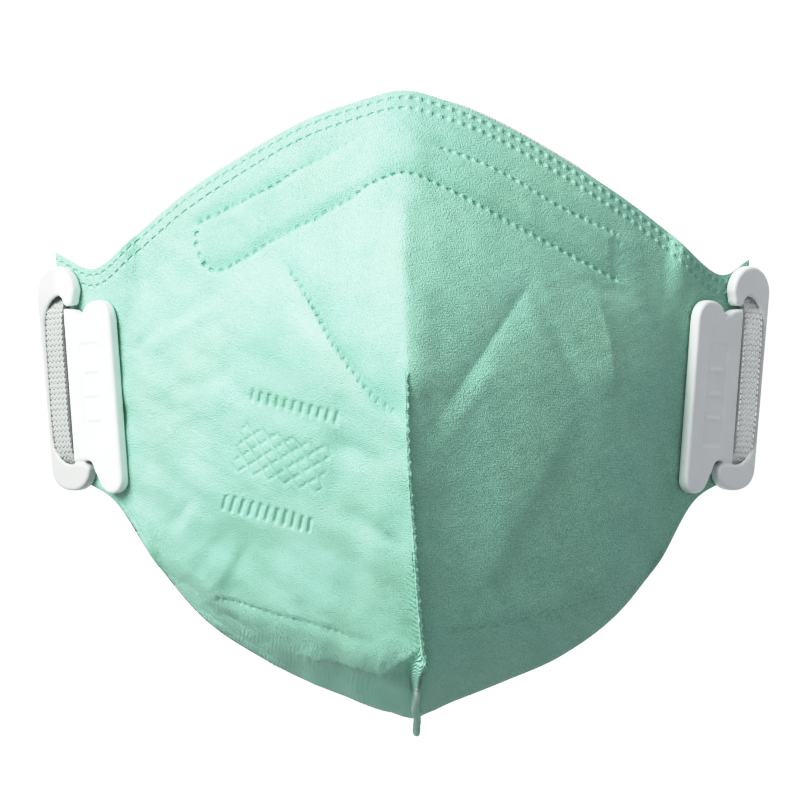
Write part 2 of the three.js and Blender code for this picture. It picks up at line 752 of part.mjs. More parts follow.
/** A free strap on edge on the surface, from one tab round to the other. */
function strapGeometry(route, end) {
  const half = [...route.map(({ x, y }) => new THREE.Vector3(x, y, STRAP_HEIGHT)), end];
  const other = half.slice(1).map((p) => new THREE.Vector3(-p.x, p.y, p.z)).reverse();
  const curve = new THREE.CatmullRomCurve3([...other, ...half], false, "centripetal");
  return new THREE.ExtrudeGeometry(new THREE.Shape(bandSection()), {
    steps: STRAP_STEPS,
    extrudePath: curve,
    bevelEnabled: false,
  });
}

/** Where a strap ends: just short of the elastic that comes out behind the right tab. */
function strapEnd(row) {
  const curve = elasticCurve();
  const t = row === 0 ? 0 : 1;
  const outlet = curve.getPoint(t);
  const away = curve.getTangent(t).multiplyScalar(row === 0 ? -STRAP_GAP : STRAP_GAP);
  const end = outlet.add(away);
  end.z = STRAP_HEIGHT;
  return end;
}

// ---- Assembly ----

const outer = outerGrid();
const respirator = new THREE.Group();
respirator.name = "respirator";
respirator.add(namedMesh("outer_shell", shellGeometry(outer), MATERIALS.shell()));
respirator.add(namedMesh("inner_lining", liningGeometry(outer), MATERIALS.lining()));
for (const side of ["left", "right"]) {
  respirator.add(namedMesh(`buckle_${side}`, buckleGeometry(side), MATERIALS.buckle()));
  respirator.add(namedMesh(`channel_elastic_${side}`, channelElasticGeometry(side), MATERIALS.elastic()));
}
respirator.add(namedMesh("upper_strap", strapGeometry(UPPER_ROUTE, strapEnd(1)), MATERIALS.elastic()));
respirator.add(namedMesh("lower_strap", strapGeometry(LOWER_ROUTE, strapEnd(0)), MATERIALS.elastic()));

export default respirator;
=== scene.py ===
"""A flat-fold disposable respirator, opened out and lying dome up on the low edges of its two buckles.

Metres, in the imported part's frame: +Z is up, away from the wearer's face, +Y points to the nose edge and +X
to the right as seen from the front. The body is two cheek panels with a soft fold between them above the
mouth and a welded fin below it. Each side ends in a flat tab with a moulded buckle, and one knitted elastic
runs through both buckles. Every piece follows its plain solid in the part and adds the fine surface: weld
marks, folds, knit and moulded edges.
"""

import logging
import math
from collections.abc import Sequence
from dataclasses import dataclass, field, replace
from enum import Enum

import bpy
import numpy as np
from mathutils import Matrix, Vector


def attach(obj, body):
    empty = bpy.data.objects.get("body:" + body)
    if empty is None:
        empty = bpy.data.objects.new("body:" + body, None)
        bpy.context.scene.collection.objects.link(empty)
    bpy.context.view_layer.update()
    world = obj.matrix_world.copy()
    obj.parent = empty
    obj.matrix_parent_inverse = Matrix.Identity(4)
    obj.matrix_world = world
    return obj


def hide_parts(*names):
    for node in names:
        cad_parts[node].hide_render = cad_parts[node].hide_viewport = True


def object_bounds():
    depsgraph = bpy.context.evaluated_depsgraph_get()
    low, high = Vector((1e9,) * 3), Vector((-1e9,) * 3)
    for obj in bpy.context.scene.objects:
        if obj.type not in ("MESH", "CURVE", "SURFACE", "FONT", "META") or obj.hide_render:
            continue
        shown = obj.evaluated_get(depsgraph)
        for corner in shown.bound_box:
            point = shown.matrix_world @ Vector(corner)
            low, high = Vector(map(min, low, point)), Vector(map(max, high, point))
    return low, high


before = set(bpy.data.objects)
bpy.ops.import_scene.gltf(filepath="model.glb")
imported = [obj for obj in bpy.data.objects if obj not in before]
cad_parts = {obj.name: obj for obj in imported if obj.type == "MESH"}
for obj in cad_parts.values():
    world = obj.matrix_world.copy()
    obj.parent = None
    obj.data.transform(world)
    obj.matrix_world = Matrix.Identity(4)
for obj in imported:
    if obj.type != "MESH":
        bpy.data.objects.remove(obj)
CAD_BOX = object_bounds()

LOG = logging.getLogger("respirator")
MM = 0.001
BODY = "root"
Array = np.ndarray
Piece = bpy.types.Object
Plan = tuple[float, float]
Place = tuple[float, float, float]
Colour = Place


# ---- Small maths ----


def mm(*values: float) -> tuple[float, ...]:
    """Millimetres as metres."""
    return tuple(value * MM for value in values)


def ease(value: Array, low: float, high: float) -> Array:
    """A smooth step from 0 at low to 1 at high."""
    t = np.clip((value - low) / (high - low), 0, 1)
    return t * t * (3 - 2 * t)


def bell(distance: Array, width: float | Array) -> Array:
    """A soft bump of height 1 that has fallen to about a third at the width."""
    return np.exp(-((distance / width) ** 2))


def slot_shape(distance: Array, length: float, soft: float) -> Array:
    """1 within half the length of 0, with soft ends."""
    return 1 - ease(np.abs(distance), length / 2 - soft / 2, length / 2 + soft / 2)


def unit(vectors: Array) -> Array:
    """The vectors at length 1."""
    return vectors / np.maximum(np.linalg.norm(vectors, axis=-1, keepdims=True), 1e-12)


def through_rows(knots: Array, rows: Array, at: Array) -> Array:
    """Smooth values between the rows of a table.

    Args:
        knots: the rising place of each row.
        rows: one row of values for each knot.
        at: the places that are asked for.

    Returns:
        The values there, with one more axis than at.
    """
    gaps = np.maximum(np.arange(len(knots)) - 1, 0), np.minimum(np.arange(len(knots)) + 1, len(knots) - 1)
    slopes = (rows[gaps[1]] - rows[gaps[0]]) / (knots[gaps[1]] - knots[gaps[0]])[:, None]
    i = np.clip(np.searchsorted(knots, at, side="left") - 1, 0, len(knots) - 2)
    span = (knots[i + 1] - knots[i])[..., None]
    t = np.clip((at - knots[i])[..., None] / span, 0, 1)
    s = t * t * (3 - 2 * t)
    bend = (1 - t) * slopes[i] - t * slopes[i + 1]
    return rows[i] * (1 - s) + rows[i + 1] * s + span * t * (1 - t) * bend


def rounded_route(points: Array, at: Array) -> Array:
    """Points of the centripetal curve through a route.

    Args:
        points: the route, one point a row.
        at: places from 0 to 1, spread evenly over the route's spans.

    Returns:
        One point for each place.
    """
    whole = np.vstack([2 * points[0] - points[1], points, 2 * points[-1] - points[-2]])
    place = np.clip(at, 0, 1) * (len(points) - 1)
    i = np.minimum(place.astype(int), len(points) - 2)
    w = (place - i)[:, None]
    p0, p1, p2, p3 = (whole[i + k] for k in range(4))
    d0, d1, d2 = (np.sqrt(np.linalg.norm(b - a, axis=1))[:, None] for a, b in ((p0, p1), (p1, p2), (p2, p3)))
    t1 = d1 * ((p1 - p0) / d0 - (p2 - p0) / (d0 + d1) + (p2 - p1) / d1)
    t2 = d1 * ((p2 - p1) / d1 - (p3 - p1) / (d1 + d2) + (p3 - p2) / d2)
    return p1 + w * t1 + w**2 * (3 * (p2 - p1) - 2 * t1 - t2) + w**3 * (2 * (p1 - p2) + t1 + t2)


def rounded_box(dx: Array, dy: Array, half_x: float, half_y: float, radius: float) -> Array:
    """The signed distance to the edge of a box with round corners, which is below 0 inside.

    Args:
        dx: places across, from the box's middle.
        dy: places along, from its middle.
        half_x: half its size across, without the radius.
        half_y: half its size along, without the radius.
        radius: the radius of its corners.

    Returns:
        One distance for each place.
    """
    qx, qy = np.abs(dx) - half_x, np.abs(dy) - half_y
    return np.hypot(np.maximum(qx, 0), np.maximum(qy, 0)) + np.minimum(np.maximum(qx, qy), 0) - radius


def lengths_along(points: Array) -> Array:
    """The distance from the first point to each point, along the line."""
    return np.concatenate([[0], np.cumsum(np.linalg.norm(np.diff(points, axis=0), axis=1))])


def evenly(points: Array, step: float) -> Array:
    """The same line with points about a step apart."""
    along = lengths_along(points)
    at = np.linspace(0, along[-1], max(2, round(along[-1] / step) + 1))
    return np.stack([np.interp(at, along, points[:, k]) for k in range(3)], axis=1)


def nearest_on_line(x: Array, y: Array, line: Array) -> tuple[Array, Array, Array]:
    """How far each place lies from a line in plan, on which side (1 on its left) and how far along it."""
    best = np.full(x.shape, np.inf)
    side, place = np.zeros_like(x), np.zeros_like(x)
    for a, b, start in zip(line[:-1], line[1:], lengths_along(line)[:-1], strict=True):
        size = float(np.hypot(*(b - a)))
        run = (b - a) / size
        dx, dy = x - a[0], y - a[1]
        t = np.clip(dx * run[0] + dy * run[1], 0, size)
        gap = np.hypot(dx - t * run[0], dy - t * run[1])
        nearer = gap < best
        best = np.where(nearer, gap, best)
        side = np.where(nearer, np.sign(run[0] * dy - run[1] * dx), side)
        place = np.where(nearer, start + t, place)
    return best, side, place


def wander(x: Array, y: Array, size: float, seed: int) -> Array:
    """Soft unevenness in plan, from about -1 to 1, with hills a given size across."""
    draw = np.random.default_rng(seed)
    total = np.zeros_like(x)
    waves = 9
    for _ in range(waves):
        turn, phase = draw.uniform(0, math.tau, 2)
        beat = math.tau / (2 * size * draw.uniform(0.7, 1.5))
        total += np.sin(beat * (x * math.cos(turn) + y * math.sin(turn)) + phase)
    return total / math.sqrt(waves)


def wander_along(along: Array, size: float, seed: int) -> Array:
    """Soft unevenness along a line, from about -1 to 1."""
    return wander(along, np.zeros_like(along), size, seed)


def upward(wide: Array, run: Array) -> Array:
    """The directions at right angles to a width and a run that point up."""
    out = np.cross(wide, run)
    return out * np.sign(out[:, 2:])


# ---- Node trees ----


class Term:
    """One output of a node, on which Python's operators add Math nodes."""

    def __init__(self, sheet: "NodeSheet", socket: bpy.types.NodeSocket) -> None:
        """Keeps the tree and the output."""
        self.sheet = sheet
        self.socket = socket

    def maths(self, operation: str, *operands: "Term | float") -> "Term":
        """The output of a Math node."""
        return self.sheet.term("ShaderNodeMath", {"operation": operation}, dict(enumerate(operands)))

    def __add__(self, other: "Term | float") -> "Term":
        """The sum."""
        return self.maths("ADD", self, other)

    def __radd__(self, other: float) -> "Term":
        """The sum."""
        return self.maths("ADD", other, self)

    def __sub__(self, other: "Term | float") -> "Term":
        """The difference."""
        return self.maths("SUBTRACT", self, other)

    def __rsub__(self, other: float) -> "Term":
        """The difference from a number."""
        return self.maths("SUBTRACT", other, self)

    def __mul__(self, other: "Term | float") -> "Term":
        """The product."""
        return self.maths("MULTIPLY", self, other)

    def __rmul__(self, other: float) -> "Term":
        """The product."""
        return self.maths("MULTIPLY", other, self)

    def sine(self) -> "Term":
        """The sine."""
        return self.maths("SINE", self)

    def within(self) -> "Term":
        """The value held between 0 and 1."""
        return self.sheet.term("ShaderNodeClamp", {}, {"Value": self})


class NodeSheet:
    """A node tree that is filled one node at a time."""

    def __init__(self, tree: bpy.types.NodeTree) -> None:
        """Empties the tree."""
        self.tree = tree
        self.tree.nodes.clear()

    def node(self, kind: str, settings: dict, inputs: dict) -> bpy.types.Node:
        """Adds a node.

        Args:
            kind: the node's type.
            settings: its properties, which are set first.
            inputs: the value or the link of each input, by name or number.

        Returns:
            The new node.
        """
        node = self.tree.nodes.new(kind)
        for name, value in settings.items():
            setattr(node, name, value)
        for key, value in inputs.items():
            if isinstance(value, Term):
                self.tree.links.new(value.socket, node.inputs[key])
            else:
                node.inputs[key].default_value = value
        return node

    def term(self, kind: str, settings: dict, inputs: dict, output: str | int = 0) -> Term:
        """Adds a node and gives one of its outputs."""
        return Term(self, self.node(kind, settings, inputs).outputs[output])


# ---- Finishes ----


def blank_material(name: str) -> tuple[bpy.types.Material, NodeSheet]:
    """A new material and its empty node tree."""
    material = bpy.data.materials.new(name)
    material.use_nodes = True
    return material, NodeSheet(material.node_tree)


def mixed(sheet: NodeSheet, share: Term, first: Term | Colour, second: Term | Colour) -> Term:
    """A colour between two, by the share of the second."""
    a, b = (c if isinstance(c, Term) else (*c, 1) for c in (first, second))
    return sheet.term("ShaderNodeMix", {"data_type": "RGBA"}, {0: share, 6: a, 7: b}, 2)


def noise(sheet: NodeSheet, place: Term, per_metre: float, detail: float) -> Term:
    """Noise whose hills number so many to a metre."""
    return sheet.term("ShaderNodeTexNoise", {}, {"Vector": place, "Scale": per_metre, "Detail": detail})


def stored(sheet: NodeSheet, name: str) -> Term:
    """A number that is stored at the points of the mesh."""
    return sheet.term("ShaderNodeAttribute", {"attribute_name": name}, {}, "Fac")


def surface(sheet: NodeSheet, inputs: dict, height: Term, depth: float) -> None:
    """Ends a material: the shader, with a bump of a real depth in metres, and the output."""
    bump = sheet.term("ShaderNodeBump", {}, {"Strength": 1.0, "Distance": depth, "Height": height})
    shader = sheet.term("ShaderNodeBsdfPrincipled", {}, {**inputs, "Normal": bump})
    sheet.node("ShaderNodeOutputMaterial", {}, {"Surface": shader})


@dataclass(frozen=True)
class NonwovenFinish:
    """Spunbonded nonwoven: matted fibres with rows of small bond points, glazed where it is welded, with the
    welded colour darkened further as painted shade.
    """

    name: str
    pale: Colour
    warm: Colour
    deep: Colour
    welded: Colour
    core: Colour = (0.70, 0.92, 0.85)
    sheen: float = 0.12
    relief: float = 0.38 * MM
    fibre_scale: float = 1900
    fibre_turns: tuple[float, float] = (0.6, -0.8)
    grain_scale: float = 2900
    cloud_scale: float = 120
    patch_scale: float = 42
    bond_across: float = 0.8 * MM
    bond_down: float = 0.9 * MM
    bond_waver: float = 0.25 * MM
    bond_waver_scale: float = 260

    def material(self) -> bpy.types.Material:
        """The finish as a material, which reads the cloth's own layout and its marks."""
        material, sheet = blank_material(self.name)
        cloth = sheet.term("ShaderNodeUVMap", {"uv_map": "cloth"}, {})
        weld, tint, core = (stored(sheet, name) for name in ("weld", "tint", "core"))
        first, second = (self._fibres(sheet, cloth, turn) for turn in self.fibre_turns)
        matted = 0.5 * (first + second)
        grain = noise(sheet, cloth, self.grain_scale, 2)
        cloud = noise(sheet, cloth, self.cloud_scale, 3)
        patches = noise(sheet, cloth, self.patch_scale, 2)
        dots = self._bonds(sheet, cloth)
        shade = (2.6 * matted + 3.0 * grain + 1.2 * cloud - 2.82 - 0.25 * dots).within()
        fresh = mixed(sheet, (2.6 * patches - 1.0).within(), self.pale, self.warm)
        cloth_colour = mixed(sheet, (0.9 - 0.9 * shade + 0.8 * tint).within(), fresh, self.deep)
        # The welded colour is the glaze of the marks, made darker as painted shade in their hollows.
        colour = mixed(sheet, core.within(), mixed(sheet, 0.7 * weld, cloth_colour, self.welded), self.core)
        height = (1 - weld) * (0.85 * matted + 1.1 * grain - 0.14 * dots) + 0.18 * cloud
        inputs = {
            "Base Color": colour,
            "Roughness": 0.9 - 0.3 * weld,
            "Sheen Weight": self.sheen,
            "Sheen Roughness": 0.5,
            "Specular IOR Level": 0.3,
        }
        surface(sheet, inputs, height, self.relief)
        return material

    def _fibres(self, sheet: NodeSheet, cloth: Term, turn: float) -> Term:
        """Drawn-out noise, which is fibres lying one way."""
        settings = {"Vector": cloth, "Rotation": (0, 0, turn), "Scale": (1.0, 2.4, 1.0)}
        return noise(sheet, sheet.term("ShaderNodeMapping", {}, settings), self.fibre_scale, 2)

    def _bonds(self, sheet: NodeSheet, cloth: Term) -> Term:
        """Staggered rows of bond points, from 0 between them to 1 at their middles."""
        across, down = (sheet.term("ShaderNodeSeparateXYZ", {}, {"Vector": cloth}, k) for k in (0, 1))
        waver = self.bond_waver * noise(sheet, cloth, self.bond_waver_scale, 1)
        columns = ((across + 0.5 * down + waver) * (math.tau / self.bond_across)).sine()
        rows = ((down - 0.3 * across + waver) * (math.tau / self.bond_down)).sine()
        return (1.7 * (columns * rows) - 0.4).within()


@dataclass(frozen=True)
class MouldedFinish:
    """White moulded plastic: satin, with the faint unevenness of a cast skin and fine scratches, and a grey
    painted shade where its points are marked for it.
    """

    name: str = "satin_white_plastic"
    light: Colour = (0.865, 0.885, 0.89)
    dull: Colour = (0.81, 0.83, 0.84)
    painted_shade_colour: Colour = (0.61, 0.63, 0.625)
    relief: float = 0.03 * MM
    flow_scale: float = 160
    skin_scale: float = 2600
    scratch_scale: float = 420
    glow_depth: float = 1.2 * MM

    def material(self) -> bpy.types.Material:
        """The finish as a material."""
        material, sheet = blank_material(self.name)
        place = sheet.term("ShaderNodeTexCoord", {}, {}, "Object")
        flow = noise(sheet, place, self.flow_scale, 4)
        skin = noise(sheet, place, self.skin_scale, 2)
        drawn_out = {"Vector": place, "Rotation": (0, 0, 1.1), "Scale": (1.0, 14.0, 1.0)}
        scratches = noise(sheet, sheet.term("ShaderNodeMapping", {}, drawn_out), self.scratch_scale, 3)
        fresh = mixed(sheet, (1.7 * flow - 0.35).within(), self.dull, self.light)
        inputs = {
            # Painted shade: the colour turns grey where the stored mark is set.
            "Base Color": mixed(sheet, stored(sheet, "painted_shade"), fresh, self.painted_shade_colour),
            "Roughness": 0.34 + 0.14 * flow + 0.08 * scratches,
            "Coat Weight": 0.06 * skin,
            "Specular IOR Level": 0.45,
            "Subsurface Weight": 0.08,
            "Subsurface Radius": (self.glow_depth,) * 3,
        }
        surface(sheet, inputs, 0.5 * flow + 0.25 * skin + 0.3 * scratches, self.relief)
        return material


@dataclass(frozen=True)
class KnitFinish:
    """Textured elastic yarn: white, with painted shade deepening the colour between its loops, and a grey
    painted shade where its points are marked for it.
    """

    name: str = "white_elastic_yarn"
    light: Colour = (0.975, 0.98, 0.975)
    deep: Colour = (0.94, 0.95, 0.945)
    painted_shade_colour: Colour = (0.50, 0.52, 0.51)
    relief: float = 0.06 * MM
    strand_scale: float = 5200
    cloud_scale: float = 420

    def material(self) -> bpy.types.Material:
        """The finish as a material."""
        material, sheet = blank_material(self.name)
        place = sheet.term("ShaderNodeTexCoord", {}, {}, "Object")
        strands = noise(sheet, place, self.strand_scale, 2)
        cloud = noise(sheet, place, self.cloud_scale, 2)
        # Painted shade: the colour deepens where the loops lie deep and over the core beneath them.
        share = (1.1 - stored(sheet, "depth") - 0.5 * strands + 0.35 * cloud).within()
        fresh = mixed(sheet, share, self.deep, self.light)
        inputs = {
            "Base Color": mixed(sheet, stored(sheet, "painted_shade"), fresh, self.painted_shade_colour),
            "Roughness": 0.78 + 0.12 * strands,
            "Sheen Weight": 0.3,
            "Sheen Roughness": 0.4,
            "Specular IOR Level": 0.3,
        }
        surface(sheet, inputs, strands, self.relief)
        return material


MINT_NONWOVEN = NonwovenFinish(
    name="mint_nonwoven",
    pale=(0.485, 0.815, 0.695),
    warm=(0.50, 0.80, 0.645),
    deep=(0.375, 0.675, 0.56),
    welded=(0.31, 0.59, 0.475),
)
WHITE_NONWOVEN = NonwovenFinish(
    name="white_nonwoven",
    pale=(0.86, 0.87, 0.86),
    warm=(0.86, 0.86, 0.84),
    deep=(0.74, 0.76, 0.76),
    welded=(0.70, 0.72, 0.71),
)


# ---- Meshes ----


def mesh_piece(name: str, points: Array, faces: Sequence[Array] = ()) -> Piece:
    """A new smooth object in the scene.

    Args:
        name: the object's name.
        points: its points in metres.
        faces: arrays of faces, each with one face a row, or none for points that a node tree grows on.

    Returns:
        The object, at the origin.
    """
    mesh = bpy.data.meshes.new(name)
    mesh.vertices.add(len(points))
    mesh.vertices.foreach_set("co", np.asarray(points, np.float32).ravel())
    given = [f for f in faces if len(f)]
    if given:
        sizes = np.concatenate([np.full(len(f), f.shape[1]) for f in given])
        corners = np.concatenate([f.ravel() for f in given])
        mesh.loops.add(len(corners))
        mesh.loops.foreach_set("vertex_index", corners.astype(np.int32))
        mesh.polygons.add(len(sizes))
        mesh.polygons.foreach_set("loop_start", np.concatenate([[0], np.cumsum(sizes)[:-1]]).astype(np.int32))
        mesh.update(calc_edges=True)
        mesh.shade_smooth()
    piece = bpy.data.objects.new(name, mesh)
    bpy.context.scene.collection.objects.link(piece)
    return piece


def points_of(piece: Piece) -> Array:
    """The points of a piece, one a row."""
    points = np.zeros(len(piece.data.vertices) * 3)
    piece.data.vertices.foreach_get("co", points)
    return points.reshape(-1, 3)


def ring_faces(count: int, sides: int) -> list[Array]:
    """The faces of a closed body through rings of points: the wall between the rings, and its two ends."""
    number = np.arange(count * sides).reshape(count, sides)
    after = np.roll(number, -1, axis=1)
    quads = np.stack([number[:-1], after[:-1], after[1:], number[1:]], axis=-1).reshape(-1, 4)
    return [quads, number[:1, ::-1], number[-1:]]


def face_outward(piece: Piece) -> None:
    """Turns every face of a closed piece outward."""
    points = points_of(piece)
    total = 0.0
    for polygon in piece.data.polygons:
        ring = points[list(polygon.vertices)]
        total += float(np.cross(ring[1:-1] - ring[0], ring[2:] - ring[0]).sum(axis=0) @ ring.mean(axis=0))
    if total < 0:
        piece.data.flip_normals()


def swept_piece(name: str, rings: Array) -> Piece:
    """A closed piece through rings of points."""
    piece = mesh_piece(name, rings.reshape(-1, 3), ring_faces(*rings.shape[:2]))
    face_outward(piece)
    return piece


def add_attribute(piece: Piece, name: str, values: Array) -> None:
    """Stores a number or a vector for each point."""
    kind, key = ("FLOAT", "value") if values.ndim == 1 else ("FLOAT_VECTOR", "vector")
    attribute = piece.data.attributes.new(name, kind, "POINT")
    attribute.data.foreach_set(key, values.astype(np.float32).ravel())


def add_layout(piece: Piece, layout: Array) -> None:
    """Stores the cloth's own layout, one place in metres for each point, as the UV map "cloth"."""
    mesh = piece.data
    corners = np.zeros(len(mesh.loops), np.int32)
    mesh.loops.foreach_get("vertex_index", corners)
    mesh.uv_layers.new(name="cloth").data.foreach_set("uv", layout[corners].astype(np.float32).ravel())


def dress(piece: Piece, material: bpy.types.Material) -> None:
    """Gives a piece its material and slot, and lets it ride on the part."""
    piece.data.materials.clear()
    piece.data.materials.append(material)
    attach(piece, BODY)
    LOG.info("%s: %d faces", piece.name, len(piece.data.polygons))


def settle_modifiers(piece: Piece) -> None:
    """Turns a piece and its modifiers into a plain mesh."""
    depsgraph = bpy.context.evaluated_depsgraph_get()
    evaluated = piece.evaluated_get(depsgraph)
    mesh = bpy.data.meshes.new_from_object(evaluated, preserve_all_data_layers=True, depsgraph=depsgraph)
    piece.modifiers.clear()
    old = piece.data
    piece.data = mesh
    mesh.name = piece.name
    bpy.data.meshes.remove(old)


def merged_piece(name: str, parts: Sequence[Piece]) -> Piece:
    """Joins parts into one object."""
    with bpy.context.temp_override(active_object=parts[0], selected_editable_objects=list(parts)):
        bpy.ops.object.join()
    parts[0].name = name
    return parts[0]


# ---- Form of the body ----


class Side(Enum):
    """The two halves, with the sign of x on each."""

    LEFT = -1
    RIGHT = 1

    @property
    def word(self) -> str:
        """The side's name, as the pieces use it."""
        return self.name.lower()


@dataclass(frozen=True)
class Section:
    """One section of a half: its nose and chin ends and the share of the centre line's rise that it keeps."""

    spot: str
    nose: Place
    chin: Place
    rise: float


@dataclass(frozen=True)
class CentreRow:
    """One place on the centre line seen from the side, its drift to the right and how softly it is folded."""

    spot: str
    y: float
    z: float
    drift: float
    fold: float


CENTRE = Section("centre", mm(0, 71.4, 33), mm(0, -65.2, 21), 1)
HALVES: dict[Side, tuple[Section, ...]] = {
    Side.RIGHT: (
        CENTRE,
        Section("nostril", mm(10, 69.0, 31.8), mm(9, -62.3, 20.7), 0.863),
        Section("inner cheek", mm(21.1, 64.5, 29), mm(20.5, -58.1, 20), 0.74),
        Section("cheek", mm(34.3, 57.3, 25), mm(33.5, -52.7, 18.7), 0.575),
        Section("outer cheek", mm(47.8, 49.0, 19.5), mm(46, -44.1, 16.6), 0.4),
        Section("jaw", mm(58.6, 41.2, 14.5), mm(56, -32.4, 13.6), 0.215),
        Section("tab root", mm(70.2, 32.1, 8.5), mm(64.6, -18.6, 10.5), 0.02),
        Section("tab edge", mm(77.7, 35.5, 2.5), mm(74.0, -13.4, 2.5), 0),
    ),
    Side.LEFT: (
        CENTRE,
        Section("nostril", mm(10, 69.1, 31.6), mm(10.5, -62.9, 20.7), 0.863),
        Section("inner cheek", mm(21.5, 65.1, 29), mm(22, -58.5, 20), 0.74),
        Section("cheek", mm(34.3, 58.2, 25), mm(33.5, -52.4, 18.7), 0.575),
        Section("outer cheek", mm(48.3, 49.4, 19.2), mm(44.5, -44.7, 16.8), 0.4),
        Section("jaw", mm(59.4, 40.4, 13.8), mm(54.5, -33.0, 13.8), 0.215),
        Section("tab root", mm(68.9, 33.3, 8.5), mm(64.2, -18.7, 10.5), 0.02),
        Section("tab edge", mm(78.3, 37.1, 2.5), mm(74.0, -13.2, 2.5), 0),
    ),
}
CENTRE_LINE = (
    CentreRow("chin edge", *mm(-65.2, 21, 3.4), 0.05),
    CentreRow("under chin", *mm(-59.1, 33, 3.8), 0.05),
    CentreRow("chin break", *mm(-51.5, 44, 4.0), 0.08),
    CentreRow("chin", *mm(-38.7, 51.5, 3.1), 0.08),
    CentreRow("lip", *mm(-25.7, 57, 2.2), 0.08),
    CentreRow("mouth", *mm(-6.6, 61.5, 1.0), 0.08),
    CentreRow("seam top", *mm(10.3, 62, 0.7), 0.1),
    CentreRow("bridge low", *mm(29.5, 56, 0.2), 0.16),
    CentreRow("bridge", *mm(46.9, 47, 0.0), 0.22),
    CentreRow("bridge high", *mm(57.9, 41, -0.2), 0.32),
    CentreRow("nose edge", *mm(71.4, 33, -0.1), 0.6),
)


@dataclass(frozen=True)
class TabFrame:
    """The plane of a side tab: across runs outward and down, along to the nose edge, up away from the tab.

    It starts at the middle of the buckle's inner edge, on the buckle's back face. The left tab mirrors the
    right one.
    """

    tilt: float = math.radians(45)
    lean: float = math.radians(4.2)
    origin: Place = mm(62.3, 8.9, 15.5)

    def axes(self) -> Array:
        """Across, along and up as the rows of a matrix."""
        flat = math.cos(self.tilt)
        across = np.array([math.cos(self.lean) * flat, -math.sin(self.lean) * flat, -math.sin(self.tilt)])
        along = np.array([math.sin(self.lean), math.cos(self.lean), 0])
        return np.stack([across, along, np.cross(across, along)])

    def to_part(self, points: Array, side: Side) -> Array:
        """Points of the tab's frame, placed on one side of the part."""
        placed = np.asarray(points) @ self.axes() + np.array(self.origin)
        placed[..., 0] *= side.value
        return placed

    def from_part(self, points: Array, side: Side) -> Array:
        """Points of the part in the tab's frame of one side."""
        own = np.array(points, float)
        own[..., 0] *= side.value
        return (own - np.array(self.origin)) @ self.axes().T


TAB = TabFrame()
MIRROR_ROW = (-1, 1, 1, -1, 1, 1, 1)


@dataclass(frozen=True)
class BodyForm:
    """The smooth form of the body, without its dents."""

    blend: Plan = mm(-9, -0.8)
    tab_clearance: float = 0.3 * MM
    fold_limit: int = 7
    fold_softness: float = 0.68

    def point(self, side: Side, section: Array, share: Array) -> Array:
        """Points of one half.

        Args:
            side: the half.
            section: the section numbers, from 0 at the centre to 7 at the tab's edge.
            share: the shares of each section's length, from 0 at the nose edge to 1 at the chin.

        Returns:
            The points, in metres.
        """
        rows = np.array([[*s.nose, *s.chin, s.rise] for s in HALVES[side]])
        numbers = np.arange(len(rows), dtype=float)
        mirrored = np.vstack([rows[1] * MIRROR_ROW, rows])
        here = through_rows(np.append(-1.0, numbers), mirrored, section)
        y = here[..., 1] * (1 - share) + here[..., 4] * share
        flat_x = here[..., 0] * (1 - share) + here[..., 3] * share
        line = np.array([[r.z, r.drift, r.fold] for r in CENTRE_LINE])
        places = np.array([r.y for r in CENTRE_LINE])
        centre_y = CENTRE.nose[1] * (1 - share) + CENTRE.chin[1] * share
        z_line, drift, fold = np.moveaxis(through_rows(places, line, centre_y), -1, 0)
        fold = fold * self.fold_softness
        rise = z_line - (CENTRE.nose[2] * (1 - share) + CENTRE.chin[2] * share)
        rounded = np.minimum(np.sqrt(section**2 + fold**2) - fold, self.fold_limit)
        soft = through_rows(numbers, rows, rounded)
        z = soft[..., 2] * (1 - share) + soft[..., 5] * share + soft[..., 6] * rise
        plane, across = self._tab_plane(flat_x, y)
        on_tab = ease(across, *self.blend)
        z = z * (1 - on_tab) + plane * on_tab
        x = side.value * flat_x + drift * (1 - section / self.fold_limit) ** 2
        return np.stack([x, y, z], axis=-1)

    def _tab_plane(self, x: Array, y: Array) -> tuple[Array, Array]:
        """Height of the tab's outer face at a place in plan, and how far outward of the buckle that is."""
        up = TAB.axes()[2]
        origin = np.array(TAB.origin) - up * self.tab_clearance
        z = origin[2] - (up[0] * (x - origin[0]) + up[1] * (y - origin[1])) / up[2]
        return z, TAB.from_part(np.stack([x, y, z], axis=-1), Side.RIGHT)[..., 0]


# ---- Relief of the sheet ----


@dataclass(frozen=True)
class Fold:
    """A soft fold in plan: a ridge, or a hollow where its height is below 0.

    The width is that of its left side, seen from its start to its end, and the right side's is a share of it.
    """

    spot: str
    start: Plan
    end: Plan
    height: float
    width: float
    bow: float = 0.0
    right_share: float = 1.0
    crisp: bool = False
    fade: Plan = (0.3, 0.3)

    def lift(self, x: Array, y: Array) -> Array:
        """How far the fold raises each place."""
        run = np.subtract(self.end, self.start)
        length = float(np.hypot(*run))
        run = run / length
        dx, dy = x - self.start[0], y - self.start[1]
        t = (dx * run[0] + dy * run[1]) / length
        off = run[0] * dy - run[1] * dx - self.bow * 4 * t * (1 - t)
        width = np.where(off > 0, self.width, self.width * self.right_share)
        ends = ease(t, -0.1, self.fade[0]) * (1 - ease(t, 1 - self.fade[1], 1.1))
        shape = np.exp(-np.abs(off) / width) if self.crisp else bell(off, width)
        return self.height * ends * shape


